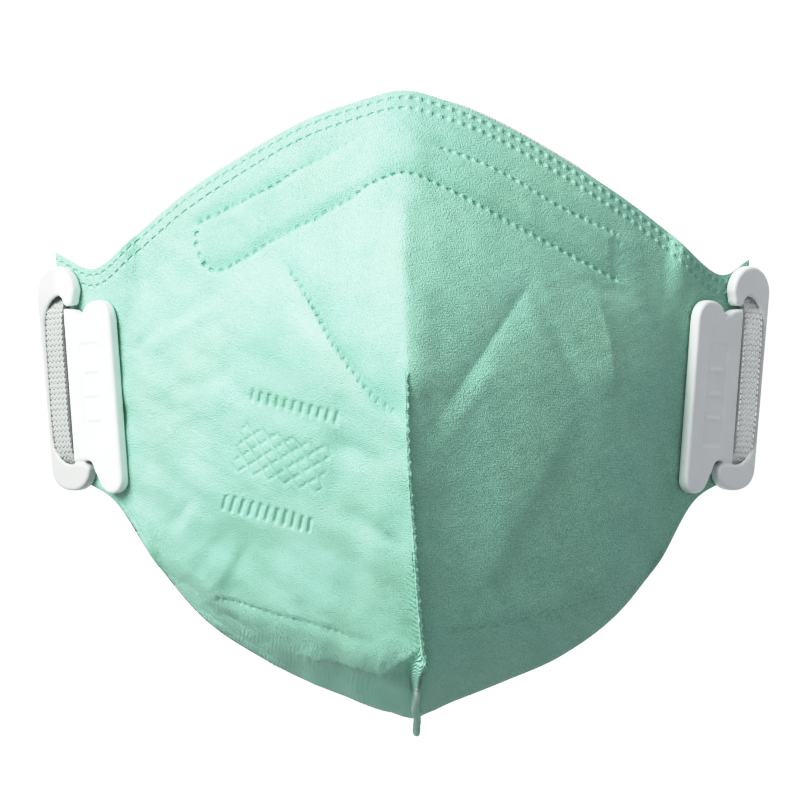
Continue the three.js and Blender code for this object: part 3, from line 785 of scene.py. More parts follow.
@dataclass(frozen=True)
class WeldMarks:
    """The pressed marks of one row: their size, spacing and depth, the beads between them, the groove and the
    painted shade beside it.
    """

    pitch: float = 2.4 * MM
    length: float = 1.35 * MM
    width: float = 0.6 * MM
    depth: float = 0.26 * MM
    groove: float = 0.20 * MM
    groove_left: float = 1.2 * MM
    groove_right: float = 1.2 * MM
    bead: float = 0.16 * MM
    slant: float = 0.0
    # tone and tone_width: painted shade, a deeper colour on the groove's left side where its wall is turned
    # from the light.
    tone: float = 0.0
    glaze: float = 1.0
    tone_width: float = 2.0 * MM
    soft: float = 0.3 * MM

    def pressed(self, off: Array, along: Array) -> tuple[Array, Array, Array]:
        """The marks of a row.

        Args:
            off: distance from the row's line.
            along: distance along it.

        Returns:
            The lift of each place, mostly below 0, its share of welding and how much painted shade deepens
            its colour.
        """
        place = (along + self.slant * off) / self.pitch
        step = (place - np.round(place)) * self.pitch
        mark = slot_shape(step, self.length, self.soft) * slot_shape(off, self.width, self.soft)
        between = bell(self.pitch / 2 - np.abs(step), (self.pitch - self.length) * 0.42)
        raised = self.bead * between * bell(off, self.width * 0.75)
        groove = self.groove * bell(off, np.where(off > 0, self.groove_left, self.groove_right))
        tone = self.tone * np.where(off > 0, bell(off, self.tone_width), bell(off, self.soft))
        return raised - self.depth * mark - groove, self.glaze * mark, tone


@dataclass(frozen=True)
class WeldLine:
    """A row of weld marks along a line in plan, with its strength at both ends."""

    spot: str
    path: tuple[Plan, ...]
    marks: WeldMarks
    fade: tuple[float, float] = (1.0, 1.0)
    step: float = 1.2 * MM
    reach: float = 6 * MM

    def press(self, x: Array, y: Array) -> tuple[Array, Array, Array]:
        """The lift, the share of welding and the painted shade at each place."""
        knots = np.array([(*p, 0.0) for p in self.path])
        line = evenly(rounded_route(knots, np.linspace(0, 1, 120)), self.step)[:, :2]
        gap, side, place = nearest_on_line(x, y, line)
        share = place / lengths_along(line)[-1]
        strength = (self.fade[0] * (1 - share) + self.fade[1] * share) * (gap < self.reach)
        lift, mark, tone = self.marks.pressed(side * gap, place)
        return lift * strength, mark * strength, tone * strength


@dataclass(frozen=True)
class WeldPatch:
    """A plain block of weld marks on one cheek: two rows of short bars and a band of lozenges."""

    centre: Plan = mm(-26.2, -8.6)
    tilt: float = math.radians(-14)
    width: float = 20.0 * MM
    depth: float = 0.36 * MM
    bar_rows: tuple[tuple[float, float], ...] = (mm(11.6, 2.6), mm(-12.2, 3.4))
    bar_pitch: float = 1.9 * MM
    bar_width: float = 0.8 * MM
    band_height: float = 10.5 * MM
    lozenge: float = 3.5 * MM
    swell: float = 0.5 * MM

    def press(self, x: Array, y: Array) -> tuple[Array, Array, Array]:
        """The lift, the share of welding and the depth of colour at each place."""
        dx, dy = x - self.centre[0], y - self.centre[1]
        along = dx * math.cos(self.tilt) + dy * math.sin(self.tilt)
        up = dy * math.cos(self.tilt) - dx * math.sin(self.tilt)
        step = (along / self.bar_pitch - np.round(along / self.bar_pitch)) * self.bar_pitch
        bars = [
            slot_shape(step, self.bar_width, 0.4 * MM) * slot_shape(up - level, height, 0.5 * MM)
            for level, height in self.bar_rows
        ]
        ridges = [np.abs(np.sin(math.pi * (along + way * up) / self.lozenge)) for way in (1, -1)]
        lattice = 1 - ease(np.minimum(*ridges), 0.0, 0.55)
        band = 0.8 * lattice * slot_shape(up, self.band_height, 1.0 * MM)
        pressed = np.maximum.reduce([*bars, band]) * slot_shape(along, self.width, 1.2 * MM)
        swell = bell(along, self.width * 0.62) * bell(up, 17 * MM)
        return self.swell * swell - self.depth * pressed, 0.7 * pressed, 0.4 * swell


POCKET_MARKS = WeldMarks(*mm(2.15, 1.1, 0.55, 0.28, 0.4, 1.9, 0.4), slant=0.6, tone=1.0)
RIGHT_POCKET_MARKS = replace(POCKET_MARKS, tone=0.2)
DART_MARKS = WeldMarks(
    *mm(1.85, 0.42, 0.75, 0.2, 0.34, 1.6, 0.4, 0.05), slant=0.2, tone=0.8, tone_width=3.0 * MM
)
CHIN_MARKS = WeldMarks(*mm(1.6, 0.9, 0.3, 0.16, 0.26, 0.5, 1.5, 0.04), glaze=0.8)
RIGHT_CHIN_MARKS = WeldMarks(*mm(1.6, 0.9, 0.3, 0.2, 0.34, 0.45, 1.8, 0.04), glaze=0.8)
END_MARKS = WeldMarks(*mm(2.4, 1.0, 0.8, 0.26, 0.12), slant=0.4)
RIM_MARKS = {
    Side.LEFT: WeldMarks(*mm(2.4, 1.5, 0.52, 0.18, 0.06, 1.2, 1.2, 0.16), glaze=0.7),
    Side.RIGHT: WeldMarks(*mm(2.4, 1.25, 0.66, 0.15, 0.0, 1.2, 1.2, 0.27), glaze=0.6),
}


def route(*numbers: float) -> tuple[Plan, ...]:
    """Places in plan from their x and y in millimetres, one after the other."""
    return tuple(mm(*pair) for pair in zip(numbers[::2], numbers[1::2], strict=True))


POCKET_LOWER = route(
    -43.6, 33.6, -41.0, 32.0, -36.6, 33.6, -26.6, 39.5, -13.6, 46.3, -6, 51.0,
    0, 53.2, 10, 49.4, 18, 45.2, 27.3, 40.3, 37, 35.2, 46.5, 30.3,
)
POCKET_UPPER_LEFT = route(-44.7, 42.9, -30.4, 49.9, -17.4, 56.9, -10.0, 60.8)
POCKET_UPPER_RIGHT = route(8.5, 58.6, 20.9, 53.7, 33.9, 46.3, 46.7, 40.5)

WELD_LINES = (
    WeldLine("clip pocket, lower line", POCKET_LOWER, POCKET_MARKS, (1.0, 0.75)),
    WeldLine("clip pocket, upper line on the left", POCKET_UPPER_LEFT, POCKET_MARKS, (1.3, 0.3)),
    WeldLine("clip pocket, upper line on the right", POCKET_UPPER_RIGHT, RIGHT_POCKET_MARKS, (0.7, 0.75)),
    WeldLine("clip pocket, left end", route(-43.6, 33.6, -45.6, 38.6, -44.7, 42.9), END_MARKS),
    WeldLine("clip pocket, right end", route(46.7, 40.5, 47.9, 36, 46.5, 30.3), END_MARKS, (0.25, 0.15)),
    WeldLine(
        "left dart",
        route(-24.2, 31.3, -20.8, 26.6, -16.6, 19.2, -11.2, 10.8, -6.4, 4.8, -2.2, 1.2),
        DART_MARKS,
        (1.0, 0.9),
    ),
    WeldLine(
        "left chin weld", route(-40.6, -39.6, -37.0, -40.2, -24, -43.4, -8.3, -47.2), CHIN_MARKS, (1.1, 0.8)
    ),
    WeldLine("right chin weld", route(10.9, -45.8, 27, -43.2, 42.6, -39.4), RIGHT_CHIN_MARKS),
)


def crease(
    spot: str, x: float, y: float, end_x: float, end_y: float, height: float, width: float, bow: float = 0.0,
    right_share: float = 1.0, crisp: bool = False, fade: Plan = (0.3, 0.3),
) -> Fold:
    """A fold whose places and sizes are given in millimetres."""
    return Fold(spot, *route(x, y, end_x, end_y), height * MM, width * MM, bow * MM, right_share, crisp, fade)


def tone_strip(
    spot: str, x: float, y: float, end_x: float, end_y: float, depth: float, width: float,
    right_share: float = 1.0,
) -> Fold:
    """A strip of painted shade, or painted light where its depth is below 0, with its places in millimetres.
    """
    return Fold(spot, *route(x, y, end_x, end_y), depth, width * MM, right_share=right_share)


# Painted shade and painted light in the cloth's colour: the deeper strips stand for shade beside the pillow,
# by the mouth, on the left jaw and under the chin, the pale ones for light by the ridge, under the pocket,
# beside the left dart and under the weld block.
TONES = (
    tone_strip("painted light strip beside the left dart", -26.0, 30.0, -3.0, -3.0, -1.4, 0.9, 2.8),
    tone_strip("pale patch by the ridge", -7.0, 66.0, -4.0, 12.0, -0.6, 8.0),
    tone_strip("pale patch under the pocket", -40.0, 24.0, -12.0, 38.0, -0.4, 5.0),
    tone_strip("deeper patch beside the pillow", -34.0, 22.0, -20.0, 3.0, 0.45, 6.0),
    tone_strip("deeper patch by the mouth", -11.0, 5.0, -2.0, 2.0, 0.5, 4.0),
    tone_strip("deeper patch on the left jaw", -32.0, -19.0, -42.0, -38.0, 0.7, 8.0),
    tone_strip("pale patch under the weld block", -38.0, -22.0, -6.0, -34.0, -0.4, 5.0),
    tone_strip("strip under the chin", -24.0, -57.6, 3.0, -62.0, 1.3, 4.0),
)

FOLDS = (
    crease("pillow beside the left dart", -26.2, 32.6, -2.6, -1.6, 1.2, 0.9, right_share=4.6),
    crease("hollow beside the left dart", -22.5, 33.0, -1.0, 3.0, -0.5, 2.4, right_share=0.5),
    crease("upper streak, left cheek", -52.5, 19.4, -40.0, 28.4, -0.6, 2.0),
    crease("ridge under that streak", -56, 15.8, -40.5, 24.8, 0.5, 2.2),
    crease("short streak by the left buckle", -59.8, 14.6, -53.5, 19.4, -0.4, 1.6),
    crease("level crease, left cheek", -51, 6.2, -37, 9.4, -0.5, 1.9),
    crease("crease over the weld block", -40, 7.0, -20, -1.0, -0.5, 2.2),
    crease("ridge above the weld block", -52, -1.2, -38, 4.4, 0.4, 2.6),
    crease("slant crease, left jaw", -38.0, -22.5, -47.0, -35.6, -0.4, 1.8, bow=0.6),
    crease("slant ridge, left jaw", -35.4, -25.6, -41.8, -37.9, 0.4, 1.6, bow=0.6),
    crease("second crease, left jaw", -33.6, -26.0, -38.6, -36.4, -0.24, 1.4),
    crease("outer crease, left jaw", -46.0, -17.6, -52.6, -24.6, -0.42, 1.5),
    crease("outer ridge, left jaw", -43.6, -18.4, -50.4, -28.6, 0.3, 1.7),
    crease("crease beside the weld block", -16.0, -4.6, -2.6, -10.4, -0.6, 2.2),
    crease("crease to the fin", -13.8, -19.4, 0.8, -28.0, -0.8, 2.4, right_share=0.8),
    crease("ridge above that crease", -15.0, -14.4, -0.8, -20.6, 0.6, 2.8),
    crease("low swell, left chin", -30.0, -36.0, -6.0, -40.5, 0.45, 4.5),
    crease("crease under the left chin weld", -45.6, -41.4, -33.0, -46.6, -0.4, 1.6),
    crease("break at the chin, left", -26.0, -50.4, -3.0, -54.8, 1.1, 6.5, 0.0, 0.13, True, (0.4, 0.15)),
    crease("break at the fin", -5.4, -55.4, 3.4, -49.6, 0.7, 3.0, 0.0, 0.35, True, (0.2, 0.2)),
    crease("right dart", 27.0, 28.6, 4.0, -4.6, -0.95, 2.6, 0.3, 1.5, True, (0.12, 0.6)),
    crease("facet edge, right cheek", 39.2, 34.0, 45.4, 7.0, 0.75, 2.8, 1.2, 1.6, True, (0.6, 0.14)),
    crease("valley beside that edge", 28.4, 27.0, 39.6, 5.0, -0.38, 2.0),
    crease("second ridge under the right dart", 20.0, 12.0, 6.0, -8.0, 0.3, 2.0),
    crease("long facet to the right chin", 36.6, 3.0, 11.6, -44.0, 0.85, 3.4, right_share=3.0),
    crease("crease at the right chin", 17.4, -34.5, 13.4, -44.5, -0.24, 1.4, bow=0.5),
    crease("dimple beside the fin", 4.4, 6.2, 9.8, -5.4, -0.6, 2.4),
    crease("crease below the right pocket", 36.5, 30.6, 50.5, 26.4, -0.4, 1.8),
)


@dataclass(frozen=True)
class ClipPocket:
    """The space between the weld lines that holds the nose clip: a low even swell, deeper in colour, partly
    as painted shade.
    """

    swell: float = 0.34 * MM
    slope: float = 2.2 * MM

    def inside(self, x: Array, y: Array) -> Array:
        """0 outside the pocket and 1 well inside it."""
        upper = (*POCKET_UPPER_RIGHT[::-1], *POCKET_UPPER_LEFT[::-1])
        corners = np.array((*POCKET_LOWER, *upper, POCKET_LOWER[0]))
        within = np.zeros(x.shape, bool)
        for a, b in zip(corners[:-1], corners[1:], strict=True):
            run = b - a
            if abs(run[1]) > 1e-9:
                level = (y - a[1]) / run[1]
                within ^= (level >= 0) & (level < 1) & (x < a[0] + level * run[0])
        gap, _, _ = nearest_on_line(x, y, corners)
        return np.where(within, ease(gap, 0, self.slope), 0.0)


@dataclass(frozen=True)
class Relief:
    """Everything that stands out of the smooth body or is pressed into it.

    Unevenness is given by its height and its size in metres and the number that sets its pattern.
    """

    rim_rows: tuple[float, ...] = mm(1.6, 3.95)
    rim_roll: float = 0.2 * MM
    rim_step: float = 0.12 * MM
    hills: tuple[tuple[float, float, int], ...] = ((0.34 * MM, 11 * MM, 23), (0.23 * MM, 4.5 * MM, 7))
    pimples: tuple[float, float, int] = (0.03 * MM, 1.5 * MM, 11)
    ragged: tuple[float, float, int] = (0.28 * MM, 1.3 * MM, 41)
    right_calm: float = 0.75
    pocket_tint: float = 0.36
    chin_painted_shade: float = 0.9
    rib_height: float = 0.07 * MM
    rib_pitch: float = 0.95 * MM
    chin_row: float = 0.12 * MM

    def lift(self, sheet: dict[str, Array]) -> tuple[Array, Array, Array]:
        """The relief of the sheet.

        Args:
            sheet: the grid's plan and its distances from the rims, by name.

        Returns:
            The lift along the surface's normal, the share of welding and how much deeper the colour is,
            mostly as painted shade and painted light.
        """
        x, y = sheet["x"], sheet["y"]
        below, above, arc = sheet["below_nose"], sheet["above_chin"], sheet["arc"]
        pocket = ClipPocket().inside(x, y)
        lift = ClipPocket().swell * pocket - self.rim_roll * (bell(below, 0.45 * MM) + bell(above, 0.5 * MM))
        open_cloth = ease(below, 4 * MM, 12 * MM) * (1 - self.right_calm * ease(x, 0, 12 * MM))
        for height, size, seed in self.hills:
            lift += height * wander(x, y, size, seed) * open_cloth
        height, *pattern = self.pimples
        lift += height * wander(x, y, *pattern) + self._chin_ribs(x, y, above, arc)
        lift -= self.rim_step * bell(below - 0.8 * MM, 0.28 * MM) * ease(-x, 0, 4 * MM)
        # Painted shade under the left chin: a band along the chin edge takes the welded colour and the welds'
        # lower roughness.
        weld = self.chin_painted_shade * (1 - ease(above, 5.5 * MM, 9.5 * MM))
        weld *= ease(-x, -4 * MM, 2 * MM) * (1 - ease(-x, 20 * MM, 34 * MM))
        # The pocket's own deeper tint, made stronger toward the lit left end as painted shade.
        tint = self.pocket_tint * pocket * (0.3 + 0.7 * ease(-x, 18 * MM, 42 * MM))
        # Painted shade and painted light from the tone strips.
        tint += sum(tone.lift(x, y) for tone in TONES)
        marks = [self._rim_row(below - row, x, arc) for row in self.rim_rows]
        marks += [line.press(x, y) for line in (*WELD_LINES, WeldPatch())]
        for pressed, mark, tone in marks:
            lift += pressed
            weld = np.maximum(weld, mark)
            tint += tone
        height, *pattern = self.ragged
        ragged = height * wander(x, y, *pattern)
        for fold in FOLDS:
            lift += fold.lift(x, y + (ragged if fold.spot.startswith("break") else 0))
        return lift, weld, tint

    def _rim_row(self, off: Array, x: Array, arc: Array) -> list[Array]:
        """A row of marks along the nose edge, with each side's own marks."""
        left, right = (RIM_MARKS[side].pressed(off, arc) for side in Side)
        return [np.where(x < 0, *pair) for pair in zip(left, right, strict=True)]

    def _chin_ribs(self, x: Array, y: Array, above: Array, arc: Array) -> Array:
        """Fine upright crimps along the chin edge, and the row that is pressed beside it."""
        beat = np.sin(math.tau * (arc + 0.9 * MM * wander(x, y, 7 * MM, 3)) / self.rib_pitch)
        left = ease(-x, 0, 8 * MM) * (1 - ease(-x, 38 * MM, 48 * MM))
        band = (1 - ease(above, 5 * MM, 14 * MM)) * (0.3 + 0.7 * left)
        band *= 0.6 + 0.4 * wander(x, y, 2 * MM, 19)
        row = self.chin_row * bell(above - 2.0 * MM, 0.5 * MM) * (1 + 0.5 * beat)
        return self.rib_height * beat * band - row


# ---- The sheet as a grid ----


@dataclass(frozen=True)
class Cutout:
    """A hole or a notch in a tab, in the tab's frame: half sizes of 0 and a radius make it round."""

    across: float
    along: float
    half_across: float
    half_along: float
    radius: float

    def distance(self, across: Array, along: Array) -> Array:
        """The signed distance to its edge, which is below 0 inside."""
        half = self.half_across, self.half_along
        return rounded_box(across - self.across, along - self.along, *half, self.radius)


TAB_CUTOUTS = (
    Cutout(*mm(23.0, 19.8, 8.6, 0.3, 1.2)),
    Cutout(*mm(23.0, -19.8, 8.6, 0.3, 1.2)),
    Cutout(*mm(8, 8.5, 0, 0, 1.9)),
    Cutout(*mm(8, -13, 0, 0, 1.9)),
)


def nearest_cutout(across: Array, along: Array) -> Array:
    """The signed distance to the nearest cut-out, in the tab's frame."""
    return np.minimum.reduce([cutout.distance(across, along) for cutout in TAB_CUTOUTS])


@dataclass
class BodySheet:
    """The whole sheet as one grid: rows from the nose edge to the chin edge, columns from left to right."""

    form: BodyForm = field(default_factory=BodyForm)
    column_step: float = 0.31 * MM
    nose_bands: tuple[tuple[float, float], ...] = (
        mm(5.4, 0.225), mm(10.2, 0.6), mm(12.8, 0.26), mm(17.8, 0.55), mm(20.6, 0.26),
    )
    chin_bands: tuple[tuple[float, float], ...] = (mm(3.6, 0.3), mm(9.0, 0.5))
    web: float = 1.08 * MM
    web_place: float = 2.4 * MM
    web_width: float = 1.6 * MM
    web_left_share: float = 3.8
    middle_rows: int = 165
    rim_end: tuple[float, float] = mm(4.5, 9)

    def __post_init__(self) -> None:
        """Lays out the grid and works out its outer face."""
        halves, counts = [], []
        for side in Side:
            section = self._sections(side)
            section = section[:0:-1] if side is Side.LEFT else section
            halves.append(self._half(side, section))
            counts.append(len(section))
        self.centre = counts[0]
        self.smooth, self.below_nose, self.above_chin = (
            np.concatenate(pair, axis=1) for pair in zip(*halves, strict=True)
        )
        beside = self.smooth[..., 0] - self.web_place
        wide = np.where(beside < 0, self.web_width * self.web_left_share, self.web_width)
        self.smooth[..., 1] -= self.web * bell(beside, wide) * (1 - ease(self.above_chin, 0, 5 * MM))
        steps = np.linalg.norm(np.diff(self.smooth, axis=1), axis=2)
        arc = np.concatenate([np.zeros((len(steps), 1)), np.cumsum(steps, axis=1)], axis=1)
        self.arc = arc - arc[:, self.centre : self.centre + 1]
        falls = np.linalg.norm(np.diff(self.smooth, axis=0), axis=2)
        down = np.concatenate([np.zeros((1, falls.shape[1])), np.cumsum(falls, axis=0)])
        self.layout = np.stack([self.arc, down], axis=-1)
        plan = {
            "x": self.smooth[..., 0],
            "y": self.smooth[..., 1],
            "below_nose": self.below_nose,
            "above_chin": self.above_chin,
            "arc": self.arc,
        }
        lift, self.weld, self.tint = Relief().lift(plan)
        self.outer = self.smooth + self.normals(self.smooth) * lift[..., None]

    def _sections(self, side: Side) -> Array:
        """Section numbers whose columns are one step apart along the first row of rim marks."""
        fine = np.linspace(0, self.form.fold_limit, 1500)
        along = lengths_along(self.form.point(side, fine, np.full_like(fine, 0.025)))
        at = np.linspace(0, along[-1], round(along[-1] / self.column_step) + 1)
        return np.interp(at, along, fine)

    def _half(self, side: Side, section: Array) -> tuple[Array, Array, Array]:
        """Points of one half, and their distances from the nose edge and the chin edge in plan."""
        ends = [self.form.point(side, section, np.full_like(section, s))[:, :2] for s in (0.0, 1.0)]
        length = np.linalg.norm(ends[1] - ends[0], axis=1)
        nose = self._band_places(self.nose_bands)
        chin = self._band_places(self.chin_bands)[::-1]
        t = np.linspace(0, 1, self.middle_rows + 2)[1:-1, None]
        middle = (nose[-1] / length) * (1 - t) + (1 - chin[0] / length) * t
        share = np.concatenate([nose[:, None] / length, middle, 1 - chin[:, None] / length])
        sections = np.broadcast_to(section, share.shape)
        return self.form.point(side, sections, share), share * length, (1 - share) * length

    @staticmethod
    def _band_places(bands: Sequence[tuple[float, float]]) -> Array:
        """Distances from an edge, at each band's own step up to its end."""
        places = [0.0]
        for end, step in bands:
            count = round((end - places[-1]) / step)
            places += list(np.linspace(places[-1], end, count + 1)[1:])
        return np.array(places)

    @staticmethod
    def normals(grid: Array) -> Array:
        """Upward unit normals of a grid."""
        return unit(np.cross(np.gradient(grid, axis=1), -np.gradient(grid, axis=0)))

    def beside_centre(self, columns: int, share: Array) -> tuple[Array, Array]:
        """Points and normals of the outer face beside the centre line.

        Args:
            columns: how many columns to the right of the centre line they are.
            share: their shares of the line's length, from 0 at the nose edge.

        Returns:
            The points and the normals.
        """
        k = self.centre + columns
        rows = self.below_nose[:, k] / (self.below_nose[:, k] + self.above_chin[:, k])
        points, normals = (
            np.stack([np.interp(share, rows, values[:, k, i]) for i in range(3)], axis=1)
            for values in (self.outer, self.normals(self.outer))
        )
        return points, unit(normals)

    def sunk(self, points: Array, distance: Array | float) -> Array:
        """Points straight below others, so that the wall between them has a thickness."""
        upright = np.maximum(self.normals(self.smooth)[..., 2], 0.6)
        lower = points.copy()
        lower[..., 2] -= distance / upright
        return lower

    def near_rim(self) -> Array:
        """1 at the two rims, where the layers are welded thin, and 0 further in."""
        return 1 - ease(np.minimum(self.below_nose, self.above_chin), *self.rim_end)

    def thinned(self, wall: float, rim_wall: float) -> Array:
        """The thickness of a wall that is thinner at the two rims."""
        thin = self.near_rim()
        return wall * (1 - thin) + rim_wall * thin

    def cutout_distance(self, points: Array) -> Array:
        """The signed distance of points from the nearest cut-out of their own tab."""
        found = []
        for side in Side:
            own = TAB.from_part(points, side)
            gap = nearest_cutout(own[..., 0], own[..., 1])
            found.append(np.where(points[..., 0] * side.value > 0, gap, 1.0))
        return np.minimum(*found)


def closed_sheet(
    name: str, outer: Array, inner: Array, layout: Array, marks: dict[str, Array], keep: Array
) -> Piece:
    """A sheet with a wall all round, between two grids.

    Args:
        name: the piece's name.
        outer: the upper grid of points.
        inner: the lower grid.
        layout: the cloth's own layout at each point.
        marks: numbers at each point, by the name of the attribute that stores them.
        keep: which cells of the grid are there.

    Returns:
        The piece, with its layout, its marks and a group that holds the points of its lower face.
    """
    rows, columns = outer.shape[:2]
    number = np.arange(rows * columns).reshape(rows, columns)
    a, b, c, d = number[:-1, :-1], number[1:, :-1], number[1:, 1:], number[:-1, 1:]
    under = rows * columns
    top = np.stack([a, b, c, d], axis=-1)[keep]
    framed = np.pad(keep, 1)
    walls = []
    sides = (
        (framed[1:-1, :-2], a, b),
        (framed[2:, 1:-1], b, c),
        (framed[1:-1, 2:], c, d),
        (framed[:-2, 1:-1], d, a),
    )
    for beyond, start, end in sides:
        edge = keep & ~beyond
        walls.append(np.stack([end[edge], start[edge], start[edge] + under, end[edge] + under], axis=-1))
    faces = np.concatenate([top, top[:, ::-1] + under, *walls])
    used, faces = np.unique(faces, return_inverse=True)
    faces = faces.reshape(-1, 4)
    points = np.concatenate([outer.reshape(-1, 3), inner.reshape(-1, 3)])[used]
    piece = mesh_piece(name, points, [faces])
    add_layout(piece, np.concatenate([layout.reshape(-1, 2)] * 2)[used])
    for mark, values in marks.items():
        add_attribute(piece, mark, np.concatenate([values.ravel(), 0.4 * values.ravel()])[used])
    wall_points = np.unique(np.concatenate([w.ravel() for w in walls]))
    group = piece.vertex_groups.new(name="lower_face")
    group.add(np.flatnonzero((used >= under) & ~np.isin(used, wall_points)).tolist(), 1.0, "REPLACE")
    return piece


@dataclass
class OuterShell:
    """The green outer layer: two cheek panels that meet at the centre line."""

    sheet: BodySheet
    wall: float = 1.15 * MM
    rim_wall: float = 0.55 * MM
    least_wall: float = 0.25 * MM
    lower_face_share: float = 0.58
    lowest: float = 0.04 * MM

    def build(self) -> None:
        """Makes both panels."""
        sheet = self.sheet
        inner = sheet.sunk(sheet.smooth, sheet.thinned(self.wall, self.rim_wall))
        inner[..., 2] = np.maximum(inner[..., 2], self.lowest)
        outer = sheet.outer.copy()
        outer[..., 2] = np.maximum(outer[..., 2], inner[..., 2] + self.least_wall)
        line, shading = outer[:, sheet.centre].copy(), sheet.normals(outer)[:, sheet.centre]
        middle = sheet.smooth[:-1, :-1] * 0.5 + sheet.smooth[1:, 1:] * 0.5
        keep = sheet.cutout_distance(middle) > 0
        for grid in (outer, inner):
            self._trim_to_cutouts(grid, keep)
        material = MINT_NONWOVEN.material()
        spans = (Side.LEFT, 0, sheet.centre), (Side.RIGHT, sheet.centre, outer.shape[1] - 1)
        for side, first, last in spans:
            own = slice(first, last + 1)
            marks = {"weld": sheet.weld[:, own], "tint": sheet.tint[:, own]}
            panel = outer[:, own], inner[:, own], sheet.layout[:, own]
            piece = closed_sheet(f"shell_{side.word}", *panel, marks, keep[:, first:last])
            self._thin_lower_face(piece)
            self._join_shading(piece, line, shading)
            dress(piece, material)
            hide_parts("outer_shell")

    def _trim_to_cutouts(self, grid: Array, keep: Array) -> None:
        """Moves the points at the edge of a cut-out onto its outline."""
        framed = np.pad(keep, 1, constant_values=True)
        corners = np.stack([framed[:-1, :-1], framed[1:, :-1], framed[1:, 1:], framed[:-1, 1:]])
        edge = corners.any(axis=0) & ~corners.all(axis=0)
        step, most = 0.02 * MM, 0.6 * MM
        for side in Side:
            own = edge & (grid[..., 0] * side.value > 0)
            points = TAB.from_part(grid[own], side)
            across, along = points[:, 0].copy(), points[:, 1].copy()
            gap = nearest_cutout(across, along)
            for axis, beside in enumerate(((across + step, along), (across, along + step))):
                points[:, axis] -= np.clip(gap, -most, most) * (nearest_cutout(*beside) - gap) / step
            grid[own] = TAB.to_part(points, side)

    def _thin_lower_face(self, piece: Piece) -> None:
        """Leaves fewer faces on the lower face, which the lining hides."""
        modifier = piece.modifiers.new("thin", "DECIMATE")
        modifier.ratio = self.lower_face_share
        modifier.vertex_group = "lower_face"
        settle_modifiers(piece)
        piece.vertex_groups.clear()
        piece.data.shade_smooth()

    @staticmethod
    def _join_shading(piece: Piece, line: Array, normals: Array) -> None:
        """Shades the points of the centre line alike on both panels."""
        points = points_of(piece)
        own = np.zeros((len(points), 3))
        near = np.flatnonzero(np.abs(points[:, 0] - line[:, 0].mean()) < 6 * MM)
        for place, normal in zip(line, normals, strict=True):
            gaps = np.linalg.norm(points[near] - place, axis=1)
            if gaps.min() < 0.01 * MM:
                own[near[gaps.argmin()]] = normal
        piece.data.normals_split_custom_set_from_vertices(own)


@dataclass
class InnerLining:
    """The white layer against the face. It shows at the nose edge and from below."""

    sheet: BodySheet
    gap: float = 0.12 * MM
    wall: float = 0.9 * MM
    rim_wall: float = 0.45 * MM
    rumple: float = 0.14 * MM
    mark_depth: float = 0.15 * MM
    reach: float = 58 * MM
    peek: float = 0.42 * MM
    peek_left: Plan = mm(-60, -26)
    peek_right: Plan = mm(8, 43)

    def build(self) -> None:
        """Makes the lining, on every second row and every fourth column of the sheet."""
        sheet = self.sheet
        last = len(sheet.smooth) - 1
        rows = np.unique(np.append(np.arange(0, last, 2), last))
        columns = np.flatnonzero(np.abs(sheet.smooth[len(rows), :, 0]) < self.reach)[::4]
        pick = np.ix_(rows, columns)
        thin = sheet.near_rim()
        shell = OuterShell(sheet)
        top_depth = sheet.thinned(shell.wall, shell.rim_wall) + self.gap
        x, y = sheet.smooth[..., 0], sheet.smooth[..., 1]
        rumple = self.rumple * (1 - thin) * (wander(x, y, 7 * MM, 31) + 0.5 * wander(x, y, 3 * MM, 37))
        wall = sheet.thinned(self.wall, self.rim_wall) + rumple - self.mark_depth * sheet.weld * thin
        outer = sheet.sunk(sheet.smooth, top_depth)[pick]
        inner = sheet.sunk(sheet.smooth, top_depth + wall)[pick]
        self._peek_out(outer, inner)
        keep = np.ones((len(rows) - 1, len(columns) - 1), bool)
        marks = {"weld": sheet.weld[pick] * 0.7}
        piece = closed_sheet("inner_lining_sheet", outer, inner, sheet.layout[pick], marks, keep)
        piece.vertex_groups.clear()
        dress(piece, WHITE_NONWOVEN.material())
        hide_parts("inner_lining")

    def _peek_out(self, outer: Array, inner: Array) -> None:
        """Lets the lining's nose edge show a little past the shell's on part of each side."""
        x, soft = outer[0, :, 0], 6 * MM
        shown = sum(
            ease(x, low, low + soft) * (1 - ease(x, high - soft, high))
            for low, high in (self.peek_left, self.peek_right)
        )
        out = unit(outer[0] - outer[2])
        for grid in (outer, inner):
            grid[0] += out * (self.peek * shown)[:, None]


# ---- The centre fin and its tail ----


@dataclass(frozen=True)
class FinRow:
    """One place along the fin: how high it stands and how far its edge is shifted to the right."""

    spot: str
    y: float
    height: float
    shift: float


FIN_ROWS = (
    FinRow("free end", *mm(-54.2, 0.8, 0.2)),
    FinRow("hook", *mm(-52.6, 1.9, 1.0)),
    FinRow("bend", *mm(-51.0, 2.1, 0.8)),
    FinRow("chin", *mm(-49.0, 2.0, 0.15)),
    FinRow("lip", *mm(-28, 1.6, 0.0)),
    FinRow("mouth", *mm(-8, 1.5, -0.2)),
    FinRow("full height", *mm(5, 1.1, -0.3)),
    FinRow("start", *mm(9.0, 0.6, -0.4)),
    FinRow("lost in the fold", *mm(10.8, -0.5, -0.3)),
)


@dataclass(frozen=True)
class TailRow:
    """One place along the tail: its left and right edges, its depth below them and where its ridge is.

    The ridge is at -1 over the left edge and at 1 over the right one.
    """

    spot: str
    left: Place
    right: Place
    keel: float
    ridge: float


